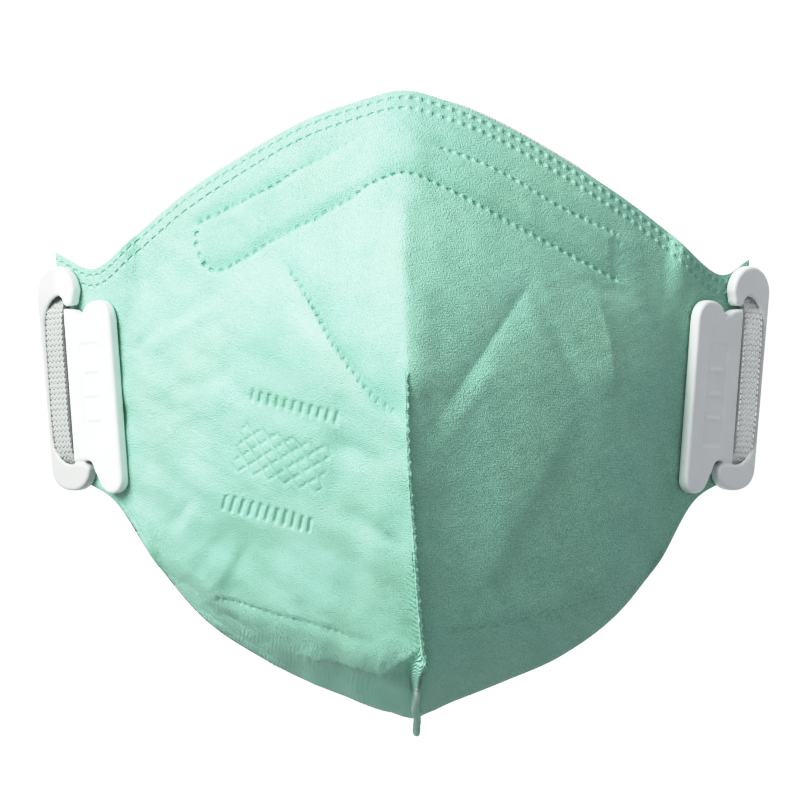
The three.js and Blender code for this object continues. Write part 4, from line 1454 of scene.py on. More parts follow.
TAIL_ROWS = (
    TailRow("under the fin", mm(2.7, -50.0, 44.6), mm(4.3, -49.8, 45.2), 1.5 * MM, 0.5),
    TailRow("shoulder", mm(2.1, -51.6, 44.6), mm(4.8, -51.6, 45.6), 1.6 * MM, 0.7),
    TailRow("flare", mm(1.5, -53.3, 43.0), mm(4.95, -53.3, 46.0), 2.1 * MM, 0.8),
    TailRow("hook", mm(1.2, -55.0, 40.8), mm(4.3, -55.1, 44.2), 2.2 * MM, 0.8),
    TailRow("broad", mm(1.25, -57.3, 37.0), mm(4.0, -57.3, 40.2), 2.2 * MM, 0.7),
    TailRow("middle", mm(1.75, -60.4, 31.2), mm(3.75, -60.4, 34.0), 2.1 * MM, 0.15),
    TailRow("low", mm(1.7, -62.9, 26.4), mm(3.45, -62.9, 28.7), 1.8 * MM, -0.35),
    TailRow("at the rim", mm(1.6, -65.0, 22.1), mm(3.75, -65.0, 23.1), 1.3 * MM, -0.4),
    TailRow("neck", mm(2.2, -66.4, 19.4), mm(3.8, -66.3, 19.4), 0.7 * MM, -0.3),
    TailRow("bulb", mm(2.0, -69.1, 16.2), mm(3.66, -69.0, 16.2), 0.7 * MM, -0.1),
    TailRow("tip", mm(2.25, -70.2, 15.2), mm(3.5, -70.2, 15.2), 0.5 * MM, 0.0),
    TailRow("end", mm(2.65, -70.6, 14.9), mm(3.1, -70.6, 14.9), 0.25 * MM, 0.0),
)


# Places round the fin's section: shares of its saw-toothed edge, its height and its uneven crest, and the
# steps across and up from there in millimetres.
FIN_PROFILE = (
    (0, 0, 0, -0.46, -0.12),
    (0, 0.4, 0, -0.44, 0),
    (0, 0, 1, -0.40, -0.34),
    (0, 0, 1, -0.33, -0.18),
    (0, 0, 1, -0.22, -0.05),
    (0, 0, 1, -0.08, 0.03),
    (0, 0, 1, 0.03, -0.05),
    (0, 0, 1, 0.11, -0.09),
    (0, 0, 1, 0.22, -0.07),
    (0.6, 0, 1, 0.1, -0.12),
    (1, 0, 1, 0, -0.18),
    (1, 0, 1, -0.03, -0.32),
    (0, 0.35, 0, 0.3, 0),
    (0, 0, 0, 0.4, -0.1),
    (0, 0, 0, 0.5, -0.9),
    (0, 0, 0, -0.5, -0.9),
)


@dataclass
class CentreFin:
    """The welded fin below the mouth's fold, with a toothed edge, and the tail that it leaves at the chin."""

    sheet: BodySheet
    step: float = 0.15 * MM
    tooth_pitch: float = 2.35 * MM
    tooth: float = 0.42 * MM
    edge: float = 0.33 * MM
    band_width: int = 9
    band_from: Plan = mm(16, 36)
    mark_pitch: float = 1.3 * MM
    mark_depth: float = 0.13 * MM
    lattice: float = 1.1 * MM
    lattice_depth: float = 0.2 * MM
    tail_sides: int = 36
    crown: float = 0.42 * MM
    crest: float = 0.10 * MM

    def build(self) -> None:
        """Makes the fin and the tail."""
        material = MINT_NONWOVEN.material()
        for piece in (self._fin(), self._tail()):
            dress(piece, material)
            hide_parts("outer_shell")

    def _fin(self) -> Piece:
        """The fin: two edges welded together, teeth on the right and a crimped band beside it on the left."""
        drop = CENTRE.nose[1] - CENTRE.chin[1]
        y = np.linspace(FIN_ROWS[-1].y, FIN_ROWS[0].y, 700)
        rough, _ = self.sheet.beside_centre(0, (CENTRE.nose[1] - y) / drop)
        rough_along = lengths_along(rough)
        along = np.linspace(0, rough_along[-1], round(rough_along[-1] / self.step))
        y = np.interp(along, rough_along, y)
        share = (CENTRE.nose[1] - y) / drop
        line, _ = self.sheet.beside_centre(0, share)
        table = np.array([[r.y, r.height, r.shift] for r in FIN_ROWS[::-1]])
        height, shift = through_rows(-table[:, 0], table[:, 1:], -y).T
        run = unit(np.gradient(line, axis=0))
        wide = unit(np.array([1.0, 0, 0]) - run * run[:, :1])
        out = upward(wide, run)
        place = along / self.tooth_pitch + 0.18 * wander_along(along, 3 * MM, 8)
        saw = np.clip(1 - np.abs(2 * (place - np.floor(place)) - 1) * 1.5, 0, 1)
        edge = self.edge + self.tooth * saw + 0.05 * MM * wander_along(along, 0.5 * MM, 5)
        sway = 0.08 * MM * wander_along(along, 1.6 * MM, 9)
        crest = height + 0.07 * MM * wander_along(along, 0.9 * MM, 15)
        rings, marks = self._band(share, y, along)
        for on_edge, on_height, on_crest, across, up in FIN_PROFILE:
            level = on_height * height + on_crest * crest + up * MM
            lean = (shift + sway) * np.clip(level / np.maximum(height, 0.3 * MM), 0, 1)
            reach = on_edge * edge + across * MM + lean
            rings.append(line + wide * reach[:, None] + out * level[:, None])
            marks.append(np.full_like(along, 0.1))
        return self._swept("centre_fin", rings, along, weld=marks)

    def _band(self, share: Array, y: Array, along: Array) -> tuple[list[Array], list[Array]]:
        """The crimped band: its points from the left to the fin, and their shares of welding."""
        there = ease(-y, *self.band_from)
        unrest = 0.12 * wander_along(along, 4 * MM, 27)
        rings, marks = [], []
        for k in (self.band_width, *range(self.band_width, 0, -1)):
            points, normals = self.sheet.beside_centre(-k, share)
            place = (along + 0.9 * k * self.sheet.column_step) / self.mark_pitch + unrest
            mark = (1.0 if 1 < k < 6 else 0.25) * (1 - ease(np.abs(place - np.round(place)), 0.08, 0.26))
            lift = 0.20 * MM - 0.026 * MM * k - self.mark_depth * mark - (0 if rings else 0.5 * MM)
            rings.append(points + normals * (lift * there - 0.3 * MM * (1 - there))[:, None])
            marks.append(0.6 * mark * there)
        return rings, marks

    def _tail(self) -> Piece:
        """The tail: a ribbon on a keel, with a weld pattern on top and pale inner layers along its ridge."""
        rows = np.array([[*r.left, *r.right, r.keel, r.ridge] for r in TAIL_ROWS])
        knots = lengths_along((rows[:, :3] + rows[:, 3:6]) / 2)
        along = np.arange(0, knots[-1], self.step)
        values = through_rows(knots, rows, along)
        left, right, keel, ridge = values[:, :3], values[:, 3:6], values[:, 6], values[:, 7]
        line, wide = (left + right) / 2, unit(right - left)
        out = upward(wide, unit(np.gradient(line, axis=0)))
        half = np.linalg.norm(right - left, axis=1) / 2 * (1 + 0.04 * wander_along(along, 1.1 * MM, 13))
        closing = np.sqrt(np.clip((along[-1] - along) / MM, 0.02, 1))
        patterned = 1 - ease(along, 13 * MM, 19 * MM)
        bared = 1.4 * ease(along, 10 * MM, 15 * MM) * (1 - 0.6 * ease(along, 24 * MM, 27 * MM))
        rings, core, weld = [], [], []
        for angle in np.linspace(0, math.tau, self.tail_sides, endpoint=False):
            across = math.copysign(abs(math.cos(angle)) ** 0.7, math.cos(angle))
            up = math.sin(angle)
            if up < 0:
                across *= 1 - 0.55 * up * up
                level = up * keel
                dots = peak = np.zeros_like(along)
            else:
                peak = bell(across - ridge, 0.5)
                dots = 0.5 + 0.5 * np.sin(math.tau * (along - across * half * 2.2) / self.lattice)
                level = self.crown * up**0.6 * (0.55 + 0.75 * bell(across - ridge, 0.85))
                level = level + self.crest * peak * up
                level = level - self.lattice_depth * dots * patterned * (abs(across) < 0.93)
            rings.append(line + wide * (across * half)[:, None] + out * (level * closing)[:, None])
            core.append(peak * bared)
            weld.append((0.25 + 1.1 * dots) * patterned)
        return self._swept("chin_tail", rings, along, core=core, weld=weld)

    @staticmethod
    def _swept(name: str, lines: list[Array], along: Array, **marks: list[Array]) -> Piece:
        """A closed piece of lines that run side by side, with its layout and the marks at its points."""
        rings = np.stack(lines, axis=1)
        piece = swept_piece(name, rings)
        around = np.cumsum(np.linalg.norm(np.diff(rings, axis=1, prepend=rings[:, :1]), axis=2), axis=1)
        layout = np.stack([around, np.broadcast_to(along[:, None], around.shape)], axis=-1)
        add_layout(piece, layout.reshape(-1, 2))
        for mark, values in marks.items():
            add_attribute(piece, mark, np.stack(values, axis=1).ravel())
        return piece


# ---- Elastic ----


@dataclass(frozen=True)
class KnitStitches:
    """Loops of knitted yarn that cover a band: two lobes that lean together, at each place of its surface."""

    lobe: Place = mm(0.40, 0.92, 0.06)
    lean: float = math.radians(24)
    apart: float = 0.30 * MM
    segments: int = 6
    rings: int = 4
    seed: int = 4

    def tree(self) -> bpy.types.NodeTree:
        """The node tree, with named inputs for the loop's sizes."""
        tree = bpy.data.node_groups.new("knit_loops", "GeometryNodeTree")
        sheet = NodeSheet(tree)
        names = ("Places", "Lobe", "Lean", "Apart", "Yarn")
        for name, kind in zip(names, ("Geometry", "Vector", "Float", "Float", "Material"), strict=True):
            tree.interface.new_socket(name=name, in_out="INPUT", socket_type=f"NodeSocket{kind}")
        tree.interface.new_socket(name="Band", in_out="OUTPUT", socket_type="NodeSocketGeometry")
        given = sheet.node("NodeGroupInput", {}, {})
        places, size, lean, apart, yarn = (Term(sheet, given.outputs[name]) for name in names)
        ball_sizes = {"Segments": self.segments, "Rings": self.rings, "Radius": 1.0}
        ball = sheet.term("GeometryNodeMeshUVSphere", {}, ball_sizes, "Mesh")
        loop = sheet.node("GeometryNodeJoinGeometry", {}, {})
        for way in (1, -1):
            turn = sheet.term("ShaderNodeCombineXYZ", {}, {"Z": lean * way})
            shift = sheet.term("ShaderNodeCombineXYZ", {}, {"X": apart * way})
            settings = {"Geometry": ball, "Translation": shift, "Rotation": turn, "Scale": size}
            tree.links.new(sheet.term("GeometryNodeTransform", {}, settings).socket, loop.inputs[0])
        vector = {"data_type": "FLOAT_VECTOR"}
        out = sheet.term("GeometryNodeInputNamedAttribute", vector, {"Name": "out"})
        run = sheet.term("GeometryNodeInputNamedAttribute", vector, {"Name": "run"})
        axes = {"primary_axis": "Z", "secondary_axis": "Y"}
        turned = sheet.term("FunctionNodeAxesToRotation", axes, {"Primary Axis": out, "Secondary Axis": run})
        spread = {"Min": (0.9, 0.92, 0.85), "Max": (1.1, 1.06, 1.2), "Seed": self.seed}
        uneven = sheet.term("FunctionNodeRandomValue", vector, spread)
        lobes = Term(sheet, loop.outputs[0])
        each = {"Points": places, "Instance": lobes, "Rotation": turned, "Scale": uneven}
        rows = sheet.term("GeometryNodeInstanceOnPoints", {}, each)
        whole = sheet.term("GeometryNodeRealizeInstances", {}, {"Geometry": rows})
        smooth = sheet.term("GeometryNodeSetShadeSmooth", {}, {"Geometry": whole})
        painted = sheet.term("GeometryNodeSetMaterial", {}, {"Geometry": smooth, "Material": yarn})
        sheet.node("NodeGroupOutput", {}, {"Band": painted})
        return tree

    def grown(self, name: str, places: Array, run: Array, out: Array, yarn: bpy.types.Material) -> Piece:
        """The loops on a set of places.

        Args:
            name: the piece's name.
            places: the middle of each loop.
            run: the direction of the band at each.
            out: the direction away from the band at each.
            yarn: the material of the loops.

        Returns:
            The loops as one plain mesh.
        """
        piece = mesh_piece(name, places)
        add_attribute(piece, "run", run)
        add_attribute(piece, "out", out)
        settings = {"Lobe": self.lobe, "Lean": self.lean, "Apart": self.apart, "Yarn": yarn}
        return grow(piece, self.tree(), settings)


def grow(piece: Piece, tree: bpy.types.NodeTree, settings: dict) -> Piece:
    """Runs a node tree on a piece with named settings, and keeps the result as a plain mesh."""
    modifier = piece.modifiers.new("grow", "NODES")
    modifier.node_group = tree
    for socket in tree.interface.items_tree:
        if socket.in_out == "INPUT" and socket.name in settings:
            modifier[socket.identifier] = settings[socket.name]
    settle_modifiers(piece)
    return piece


@dataclass(frozen=True)
class BandPath:
    """A stretch of elastic: its centre line, and the directions of its width and thickness at each point."""

    line: Array
    wide: Array
    thick: Array

    @property
    def run(self) -> Array:
        """The direction along the band at each point."""
        return unit(np.gradient(self.line, axis=0))

    @property
    def length(self) -> float:
        """The length of the line."""
        return float(lengths_along(self.line)[-1])

    def at(self, along: Array) -> tuple[Array, Array, Array, Array]:
        """The line, run, width and thickness directions at distances along the band."""
        place = lengths_along(self.line)
        line, *ways = (
            np.stack([np.interp(along, place, values[:, k]) for k in range(3)], axis=1)
            for values in (self.line, self.run, self.wide, self.thick)
        )
        return line, *(unit(way) for way in ways)


@dataclass
class KnittedElastic:
    """Flat knitted elastic: a core with loops of yarn all over it.

    The routes of the straps give the right half in plan. The channel's gives its nose half in the frame
    of the tab, with how far the band has turned upright.
    """

    width: float = 5.4 * MM
    thick: float = 1.3 * MM
    loop_depth: float = 0.14 * MM
    row_pitch: float = 1.2 * MM
    wales: int = 4
    wale_margin: float = 0.5 * MM
    core_sides: int = 20
    strap_height: float = 3.05 * MM
    route_step: float = 4.2 * MM
    strap_gap: float = 0.02 * MM
    lean: float = 0.12
    upper_route: tuple[Plan, ...] = route(0, 60, 18, 57, 34, 50, 47, 41, 58, 33)
    lower_route: tuple[Plan, ...] = route(0, -54, 18, -49.5, 33, -39.5, 45, -27.5, 55.5, -16.5)
    channel_route: tuple[tuple[float, float, float, float], ...] = (
        (*mm(11.6, 19.6, -6.0), 1.0),
        (*mm(13.5, 20.1, -4.2), 0.8),
        (*mm(15.6, 20.2, -2.3), 0.4),
        (*mm(17.8, 19.3, -0.3), 0.1),
        (*mm(18.6, 17.5, 1.1), 0.0),
        (*mm(18.6, 15.2, 2.0), 0.0),
        (*mm(18.5, 12.2, 2.4), 0.0),
        (*mm(18.5, 9.2, 2.6), 0.0),
        (*mm(18.5, 4.6, 2.6), 0.0),
        (*mm(18.5, 0.0, 2.6), 0.0),
    )

    @property
    def core_half(self) -> tuple[float, float]:
        """Half the width and half the thickness of the core under the loops."""
        return self.width / 2 - self.loop_depth, self.thick / 2 - self.loop_depth

    def build(self) -> None:
        """Makes the two free straps and the stretch in each buckle."""
        yarn = KnitFinish().material()
        for name, plan, end in (("upper_strap", self.upper_route, 1), ("lower_strap", self.lower_route, 0)):
            path = self._strap_path(plan, end)
            piece = self._band(f"{name}_band", path, yarn)
            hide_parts(name)
            path.length
            [tuple(p) for p in evenly(path.line, self.route_step)]
            LOG.info("%s is %.1f mm long", name, path.length / MM)
        for side in Side:
            piece = self._band(f"elastic_in_{side.word}_buckle", self._channel_path(side), yarn)
            # Painted shade: the whole stretch of elastic in the left buckle is greyed in colour.
            add_attribute(piece, "painted_shade", np.full(len(piece.data.vertices), float(side is Side.LEFT)))
            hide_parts(f"channel_elastic_{side.word}")

    def _channel_curve(self) -> tuple[Array, Array]:
        """The centre line through the right buckle in the part's frame, and how far the band is upright."""
        half = np.array(self.channel_route)
        table = np.vstack([half * (1, -1, 1, 1), half[-2::-1]])
        at = np.linspace(0, 1, 241)
        line = rounded_route(TAB.to_part(table[:, :3], Side.RIGHT), at)
        numbers = np.arange(len(table), dtype=float)
        return line, through_rows(numbers, table[:, 3:], at * (len(table) - 1))[:, 0]

    def _channel_path(self, side: Side) -> BandPath:
        """The stretch of elastic in one buckle."""
        line, turn = self._channel_curve()
        run = unit(np.gradient(line, axis=0))
        flat, upright = unit(TAB.axes()[0] + self.lean * TAB.axes()[2]), np.array([0, 0, -1.0])
        wide = flat * (1 - turn)[:, None] + upright * turn[:, None]
        wide = unit(wide - run * (wide * run).sum(axis=1, keepdims=True))
        mirror = np.array([side.value, 1, 1])
        return BandPath(line * mirror, wide * mirror, np.cross(wide, run) * mirror)

    def _strap_path(self, plan: tuple[Plan, ...], end: int) -> BandPath:
        """A free strap, on edge on the surface from one tab round to the other."""
        line, _ = self._channel_curve()
        outlet, before = (line[-1], line[-2]) if end else (line[0], line[1])
        last = outlet + unit(outlet - before) * self.strap_gap
        half = np.array([(*p, self.strap_height) for p in (*plan, last[:2])])
        whole = np.vstack([half[:0:-1] * (-1, 1, 1), half])
        curve = evenly(rounded_route(whole, np.linspace(0, 1, 400)), 0.6 * MM)
        run = unit(np.gradient(curve, axis=0))
        wide = np.zeros_like(run)
        wide[:, 2] = 1.0
        return BandPath(curve, wide, np.cross(wide, run))

    def _band(self, name: str, path: BandPath, yarn: bpy.types.Material) -> Piece:
        """One stretch of elastic: the core and its loops, none of it below the surface that it lies on."""
        core = self._core(name, path)
        core.data.materials.append(yarn)
        loops = self._loops(f"{name}_loops", path, yarn)
        # How deep each point lies, which the yarn's colour turns into painted shade.
        add_attribute(loops, "depth", self._depth_in_band(points_of(loops), path))
        piece = merged_piece(name, [core, loops])
        points = points_of(piece)
        points[:, 2] = np.maximum(points[:, 2], 0.0)
        piece.data.vertices.foreach_set("co", points.astype(np.float32).ravel())
        dress(piece, yarn)
        return piece

    def _core(self, name: str, path: BandPath) -> Piece:
        """The band under the loops, with rounded edges."""
        half_width, half_thick = self.core_half
        along = np.arange(0, path.length, self.row_pitch / 2)
        line, _, wide, thick = path.at(np.append(along, path.length))
        rings = []
        for angle in np.linspace(0, math.tau, self.core_sides, endpoint=False):
            across = np.sign(math.cos(angle)) * abs(math.cos(angle)) ** 0.35 * half_width
            up = np.sign(math.sin(angle)) * abs(math.sin(angle)) ** 0.6 * half_thick
            rings.append(line + wide * across + thick * up)
        piece = swept_piece(name, np.stack(rings, axis=1))
        add_attribute(piece, "depth", np.full(len(piece.data.vertices), 0.9))
        return piece

    def _loops(self, name: str, path: BandPath, yarn: bpy.types.Material) -> Piece:
        """The loops on both faces of a stretch and on its two edges."""
        count = max(2, round(path.length / self.row_pitch))
        line, run, wide, thick = path.at((np.arange(count) + 0.5) * path.length / count)
        half_width, half_thick = self.core_half
        wale = (2 * half_width - self.wale_margin) / self.wales
        places, outs = [], []
        for face in (1, -1):
            for k in range(self.wales):
                across = (k - (self.wales - 1) / 2) * wale
                places.append(line + wide * across + thick * (face * half_thick))
                outs.append(thick * face)
            places.append(line + wide * (face * half_width * 0.97))
            outs.append(wide * face)
        runs = np.tile(run, (len(places), 1))
        return KnitStitches().grown(name, np.concatenate(places), runs, np.concatenate(outs), yarn)

    def _depth_in_band(self, points: Array, path: BandPath) -> Array:
        """How deep each point of the loops lies below their tops, from 0 to 1."""
        every = max(1, len(path.line) // 160)
        coarse, wide, thick = (values[::every] for values in (path.line, path.wide, path.thick))
        nearest = np.argmin(((points[:, None, :] - coarse[None]) ** 2).sum(axis=2), axis=1)
        offset = points - coarse[nearest]
        past = [
            np.abs((offset * way[nearest]).sum(axis=1)) - half
            for way, half in zip((wide, thick), self.core_half, strict=True)
        ]
        return 1 - np.clip(np.maximum(*past) / self.loop_depth, 0, 1)


# ---- Buckles ----


class Outline:
    """A closed outline in the buckle's plane, drawn with lines, curves and arcs."""

    def __init__(self, x: float, y: float) -> None:
        """Starts at a point."""
        self.points = [np.array([x, y])]

    def line(self, x: float, y: float) -> "Outline":
        """Draws a straight stretch, with points close enough together to be rounded."""
        start, end = self.points[-1], np.array([x, y])
        count = max(1, round(float(np.linalg.norm(end - start)) / (1.5 * MM)))
        self.points += [start + (end - start) * k / count for k in range(1, count + 1)]
        return self

    def curve(self, first: Plan, second: Plan, end: Plan, steps: int = 12) -> "Outline":
        """Draws a cubic curve with two handles."""
        a, b, c, d = self.points[-1], np.array(first), np.array(second), np.array(end)
        for k in range(1, steps + 1):
            t = k / steps
            near = (1 - t) ** 3 * a + 3 * t * (1 - t) ** 2 * b
            self.points.append(near + 3 * t**2 * (1 - t) * c + t**3 * d)
        return self

    def arc(self, centre: Plan, radius: float, start: float, end: float, steps: int = 16) -> "Outline":
        """Draws an arc between two angles."""
        for angle in np.linspace(start, end, steps + 1):
            self.points.append(np.array(centre) + radius * np.array([math.cos(angle), math.sin(angle)]))
        return self

    def closed(self) -> Array:
        """The outline's points, anticlockwise and without repeats."""
        points = np.array(self.points)
        away = np.linalg.norm(points - np.roll(points, 1, axis=0), axis=1) > 0.02 * MM
        points = points[away]
        after = np.roll(points, -1, axis=0)
        area = float((points[:, 0] * after[:, 1] - points[:, 1] * after[:, 0]).sum())
        return points if area > 0 else points[::-1]


def disc(middle: Plan, radius: float) -> Array:
    """A round outline."""
    return Outline(middle[0] + radius, middle[1]).arc(middle, radius, 0, math.tau, 40).closed()


def box(low_x: float, low_y: float, high_x: float, high_y: float) -> Array:
    """A square-cornered outline."""
    return np.array([[low_x, low_y], [high_x, low_y], [high_x, high_y], [low_x, high_y]])


def slab(outline: Array, low: float, high: float, radius: float) -> tuple[Array, list[Array]]:
    """A plate of an outline with its edges rounded.

    Args:
        outline: the outline, anticlockwise.
        low: the level of its back face.
        high: the level of its front face.
        radius: the radius of its edges.

    Returns:
        Its points and its faces.
    """
    edges = outline - np.roll(outline, 1, axis=0), np.roll(outline, -1, axis=0) - outline
    sides = [np.stack([-e[:, 1], e[:, 0]], axis=1) / np.linalg.norm(e, axis=1)[:, None] for e in edges]
    inward = sides[0] + sides[1]
    inward = inward / np.maximum((inward**2).sum(axis=1, keepdims=True) / 2, 0.5)
    angles = np.linspace(0, math.pi / 2, 5)
    levels = [(radius * (1 - math.sin(a)), low + radius * (1 - math.cos(a))) for a in angles]
    levels += [(radius * (1 - math.cos(a)), high - radius * (1 - math.sin(a))) for a in angles]
    rings = [
        np.column_stack([outline + inward * inset, np.full(len(outline), level)]) for inset, level in levels
    ]
    return np.vstack(rings), ring_faces(len(rings), len(outline))


@dataclass
class Buckle:
    """A moulded buckle: a plate riveted to the tab, a hooked rail and the elastic's channel between them."""

    rail_edge: tuple[float, float] = mm(23.4, 22.8)
    rail_rise: float = 0.45 * MM
    thick: float = 2.8 * MM
    edge_round: float = 0.62 * MM
    voxel: float = 0.28 * MM
    channel_inner: float = 15.4 * MM
    channel_outer: float = 21.6 * MM
    channel_floor: float = 0.9 * MM
    channel_half: float = 10.2 * MM
    hollow_inner: float = 13.3 * MM
    hollow_near: float = 11.5 * MM
    hollow_far: float = 21.8 * MM
    hollow_top: float = 2.1 * MM
    rivets: tuple[Plan, ...] = (mm(8, 8.5), mm(8, -13))
    rivet_radius: float = 1.6 * MM
    rivet_head: float = 2.7 * MM
    head_depth: float = 1.0 * MM
    tab_room: float = 1.8 * MM
    panel: tuple[float, float, float, float] = mm(7.4, -3.2, 3.4, 11.6)
    panel_corner: float = 1.2 * MM
    panel_depth: float = 0.16 * MM
    rib_pitch: float = 5.4 * MM

    def build(self) -> None:
        """Makes both buckles."""
        plastic = MouldedFinish().material()
        points, faces = self._moulding()
        for side in Side:
            placed = TAB.to_part(points, side)
            placed[:, 2] = np.maximum(placed[:, 2], 0.0)
            own = faces if side is Side.RIGHT else [f[:, ::-1] for f in faces]
            piece = mesh_piece(f"buckle_{side.word}_moulding", placed, own)
            # Painted shade: the left buckle's rail and chin hook are darkened in colour, the right buckle's
            # are not.
            add_attribute(piece, "painted_shade", self._painted_shade_share(points) * (side is Side.LEFT))
            dress(piece, plastic)
            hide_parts(f"buckle_{side.word}")

    def _plate(self) -> Array:
        """Outline of the plate."""
        outline = Outline(*mm(0, -22.2)).line(*mm(0, 12.6))
        outline.curve(mm(0, 15.6), mm(1.6, 17.6), mm(4.4, 17.6))
        outline.curve(mm(7.2, 17.6), mm(8.4, 16.4), mm(9.5, 14.4)).line(*mm(12.4, 16.0))
        outline.line(self.channel_inner, 16.5 * MM).line(self.channel_inner, -17.8 * MM)
        outline.line(*mm(11.2, -17.8)).curve(mm(8.6, -17.8), mm(9.2, -20.2), mm(7.9, -21.4))
        outline.curve(mm(6.8, -24.6), mm(5.0, -25.4), mm(3.4, -25.4))
        return outline.curve(mm(1.4, -25.4), mm(0, -24.2), mm(0, -22.2)).closed()

    def _rail(self) -> Array:
        """Outline of the rail with its two hooks."""
        nose, chin = self.rail_edge
        hook, start = mm(6, 20.1), -19.0 * MM
        outline = Outline(chin, start).line(nose, hook[1])
        outline.arc((nose - hook[0], hook[1]), hook[0], 0, math.pi, 28).line(*mm(12, 18.5))
        outline.arc(mm(13.75, 18.5), 1.75 * MM, math.pi, math.tau, 12).line(*mm(16.5, 19.4))
        outline.curve(mm(19, 19), mm(21, 17), (self.channel_outer, 13.6 * MM))
        outline.line(self.channel_outer, -12.8 * MM)
        outline.curve(mm(21, -16), mm(19, -18.2), mm(16.3, -18.3)).line(*mm(12.6, -18.3))
        outline.curve(mm(11, -18.4), mm(10.5, -19.4), mm(10.5, -20.0))
        outline.curve(mm(10.8, -22.8), mm(13.4, -24.3), mm(16.2, -24.3))
        return outline.curve(mm(20.2, -24.3), mm(22.8, -22.3), (chin, start)).closed()

    def _moulding(self) -> tuple[Array, list[Array]]:
        """The whole buckle in its own frame, with its parts run together and its edges softened."""
        inner, outer, half = self.channel_inner - 1.5 * MM, self.channel_outer + 0.5 * MM, self.channel_half
        head_top = -self.tab_room
        parts = [
            slab(self._plate(), 0, self.thick, self.edge_round),
            slab(box(inner, -half, outer, half), 0, self.channel_floor, 0.01 * MM),
        ]
        for middle in self.rivets:
            shank, head = disc(middle, self.rivet_radius), disc(middle, self.rivet_head)
            parts.append(slab(shank, head_top - 0.4 * MM, self.thick / 2, 0.05 * MM))
            parts.append(slab(head, head_top - self.head_depth, head_top, 0.45 * MM))
        bodies = [mesh_piece(f"buckle_part_{k}", *part) for k, part in enumerate(parts)]
        rail = mesh_piece("buckle_rail", *slab(self._rail(), 0, self.thick, self.edge_round))
        for low, high in ((self.hollow_near, self.hollow_far), (-self.hollow_far, -self.hollow_near)):
            hollow = box(self.hollow_inner, low, self.channel_outer, high)
            cutter = mesh_piece("hook_hollow", *slab(hollow, -1 * MM, self.hollow_top, 0.3 * MM))
            modifier = rail.modifiers.new("hollow", "BOOLEAN")
            modifier.operation, modifier.solver, modifier.object = "DIFFERENCE", "EXACT", cutter
            settle_modifiers(rail)
            bpy.data.objects.remove(cutter)
        whole = merged_piece("buckle_whole", [*bodies, rail])
        remesh = whole.modifiers.new("run_together", "REMESH")
        remesh.mode, remesh.voxel_size, remesh.adaptivity = "VOXEL", self.voxel, 0.0
        soften = whole.modifiers.new("soften", "SMOOTH")
        soften.factor, soften.iterations = 0.5, 4
        settle_modifiers(whole)
        points = points_of(whole)
        rings = [list(p.vertices) for p in whole.data.polygons]
        faces = [np.array([r for r in rings if len(r) == n], int).reshape(-1, n) for n in (4, 3)]
        bpy.data.objects.remove(whole)
        return self._shaped(points), faces

    def _shaped(self, points: Array) -> Array:
        """Raises the rail, and presses a plain shallow panel with three low ribs into the plate's front."""
        x, y, half_x, half_y = self.panel
        dx, dy, level = points[:, 0] - x, points[:, 1] - y, points[:, 2]
        corner = self.panel_corner
        edge = rounded_box(dx, dy, half_x - corner, half_y - corner, corner)
        pressed = 1 - ease(edge, -0.35 * MM, 0.15 * MM)
        across = slot_shape(dx, 4.4 * MM, 0.6 * MM)
        for rib in (-1, 0, 1):
            pressed = pressed - 1.1 * across * slot_shape(dy - rib * self.rib_pitch, 0.9 * MM, 0.5 * MM)
        front = level > self.thick - 0.12 * MM
        upper = np.clip((level - 0.8 * MM) / (self.thick - 0.8 * MM), 0, 1)
        rise = self.rail_rise * self._beyond_plate(points) * upper
        shaped = points.copy()
        shaped[:, 2] += rise - np.where(front, self.panel_depth * pressed, 0)
        return shaped

    def _painted_shade_share(self, points: Array) -> Array:
        """How much painted shade the plastic takes: the rail and its chin hook most, the nose hook least."""
        rail = ease(self._beyond_plate(points), 0.0, 0.35) * (1 - 0.6 * ease(points[:, 1], 15 * MM, 22 * MM))
        hook = ease(points[:, 0], 9.4 * MM, 10.6 * MM) * ease(-points[:, 1], 17.4 * MM, 18.6 * MM)
        return np.maximum(rail, hook)

    def _beyond_plate(self, points: Array) -> Array:
        """How far each place is from the plate towards the rail's outer edge, from 0 to 1."""
        return np.clip((points[:, 0] - self.channel_inner) / (self.rail_edge[0] - self.channel_inner), 0, 1)


# ---- Studio ----


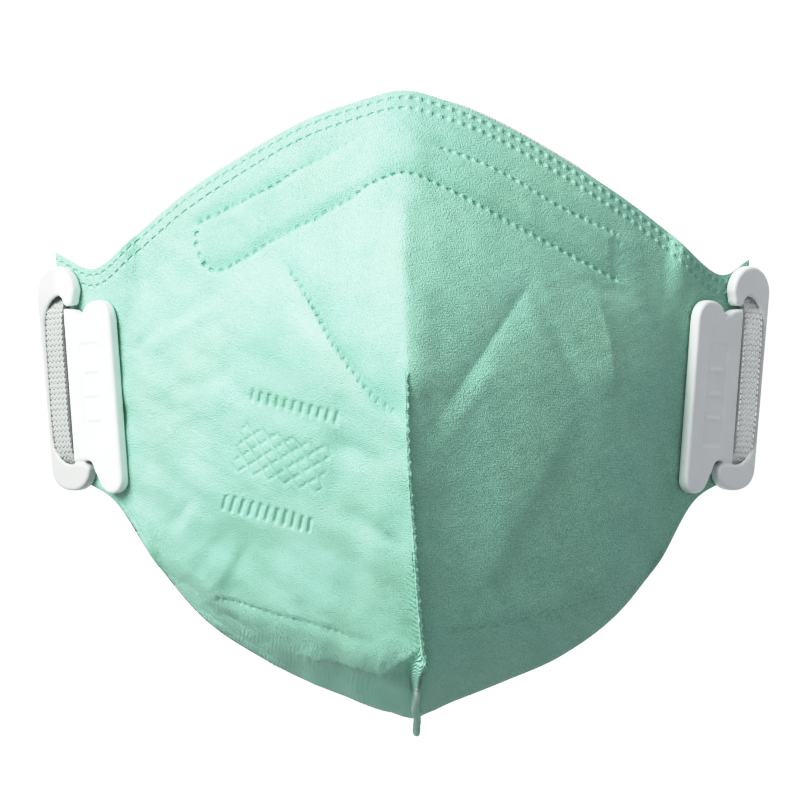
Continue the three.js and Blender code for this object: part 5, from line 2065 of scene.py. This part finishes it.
@dataclass(frozen=True)
class Studio:
    """Camera, plain floor, one soft low light from the upper left and a film-like tone curve."""

    camera_place: Place = (-0.0008, 0.004, 1.0)
    lens: float = 200.0
    sensor: float = 36.0
    clip: tuple[float, float] = (0.05, 10.0)
    floor_half: float = 3.0
    floor_drop: float = 0.05 * MM
    floor_glow: float = 1.0
    key_place: Place = (-0.82, 0.76, 0.73)
    key_target: Place = (0, 0, 0.03)
    key_size: float = 0.8
    key_power: float = 19.2
    key_colour: Colour = (1.0, 0.995, 0.955)
    sky: float = 0.352
    sky_colour: Colour = (0.98, 1.0, 1.02)
    tones: tuple[tuple[float, float], ...] = (
        (0.1, 0.07), (0.2, 0.184), (0.3, 0.324), (0.4, 0.485), (0.5, 0.646), (0.6, 0.765), (0.7, 0.849),
        (0.8, 0.905), (0.86, 0.932), (0.93, 0.968),
    )

    def build(self) -> None:
        """Sets up the whole studio."""
        self._camera()
        self._key_light()
        self._sky()
        self._floor()
        self._tone_curve()

    def _placed(self, name: str, data: bpy.types.ID, place: Place) -> Piece:
        """A camera or a light in the scene."""
        thing = bpy.data.objects.new(name, data)
        thing.location = place
        bpy.context.scene.collection.objects.link(thing)
        return thing

    def _camera(self) -> None:
        """The camera, straight above the respirator."""
        data = bpy.data.cameras.new("camera")
        data.lens, data.sensor_width = self.lens, self.sensor
        data.clip_start, data.clip_end = self.clip
        bpy.context.scene.camera = self._placed("camera", data, self.camera_place)

    def _key_light(self) -> None:
        """A square soft light that faces the respirator."""
        data = bpy.data.lights.new("key_light", "AREA")
        data.shape, data.size, data.energy = "SQUARE", self.key_size, self.key_power
        data.color = self.key_colour
        lamp = self._placed("key_light", data, self.key_place)
        aim = Vector(self.key_target) - Vector(self.key_place)
        lamp.rotation_euler = aim.to_track_quat("-Z", "Y").to_euler()

    def _sky(self) -> None:
        """Even, slightly cool light from all round."""
        world = bpy.data.worlds.new("studio")
        world.use_nodes = True
        sheet = NodeSheet(world.node_tree)
        glow = sheet.term("ShaderNodeBackground", {}, {"Color": (*self.sky_colour, 1), "Strength": self.sky})
        sheet.node("ShaderNodeOutputWorld", {}, {"Surface": glow})
        bpy.context.scene.world = world

    def _floor(self) -> None:
        """A plain pale table, lit from within so that shadows stay faint."""
        half = self.floor_half
        corners = np.zeros((4, 3))
        corners[:, :2] = box(-half, -half, half, half)
        corners[:, 2] = CAD_BOX[0][2] - self.floor_drop
        floor = mesh_piece("table", corners, [np.array([[0, 1, 2, 3]])])
        material, sheet = blank_material("pale_table")
        inputs = {
            "Base Color": (0.12, 0.12, 0.12, 1),
            "Roughness": 0.85,
            "Specular IOR Level": 0.0,
            "Emission Color": (1, 1, 1, 1),
            "Emission Strength": self.floor_glow,
        }
        shader = sheet.term("ShaderNodeBsdfPrincipled", {}, inputs)
        sheet.node("ShaderNodeOutputMaterial", {}, {"Surface": shader})
        floor.data.materials.append(material)
        floor.visible_diffuse = False
        floor.visible_shadow = False

    def _tone_curve(self) -> None:
        """More contrast in the middle and a soft shoulder, so that bright cloth pales instead of clipping."""
        view = bpy.context.scene.view_settings
        view.view_transform = "Standard"
        view.use_curve_mapping = True
        curve = view.curve_mapping.curves[3]
        for place, value in self.tones:
            curve.points.new(place, value)
        view.curve_mapping.update()


def main() -> None:
    """Builds the respirator, piece by piece."""
    logging.basicConfig(level=logging.INFO, format="%(message)s")
    Studio().build()
    KnittedElastic().build()
    sheet = BodySheet()
    OuterShell(sheet).build()
    InnerLining(sheet).build()
    CentreFin(sheet).build()
    Buckle().build()


if __name__ == "__main__":
    main()
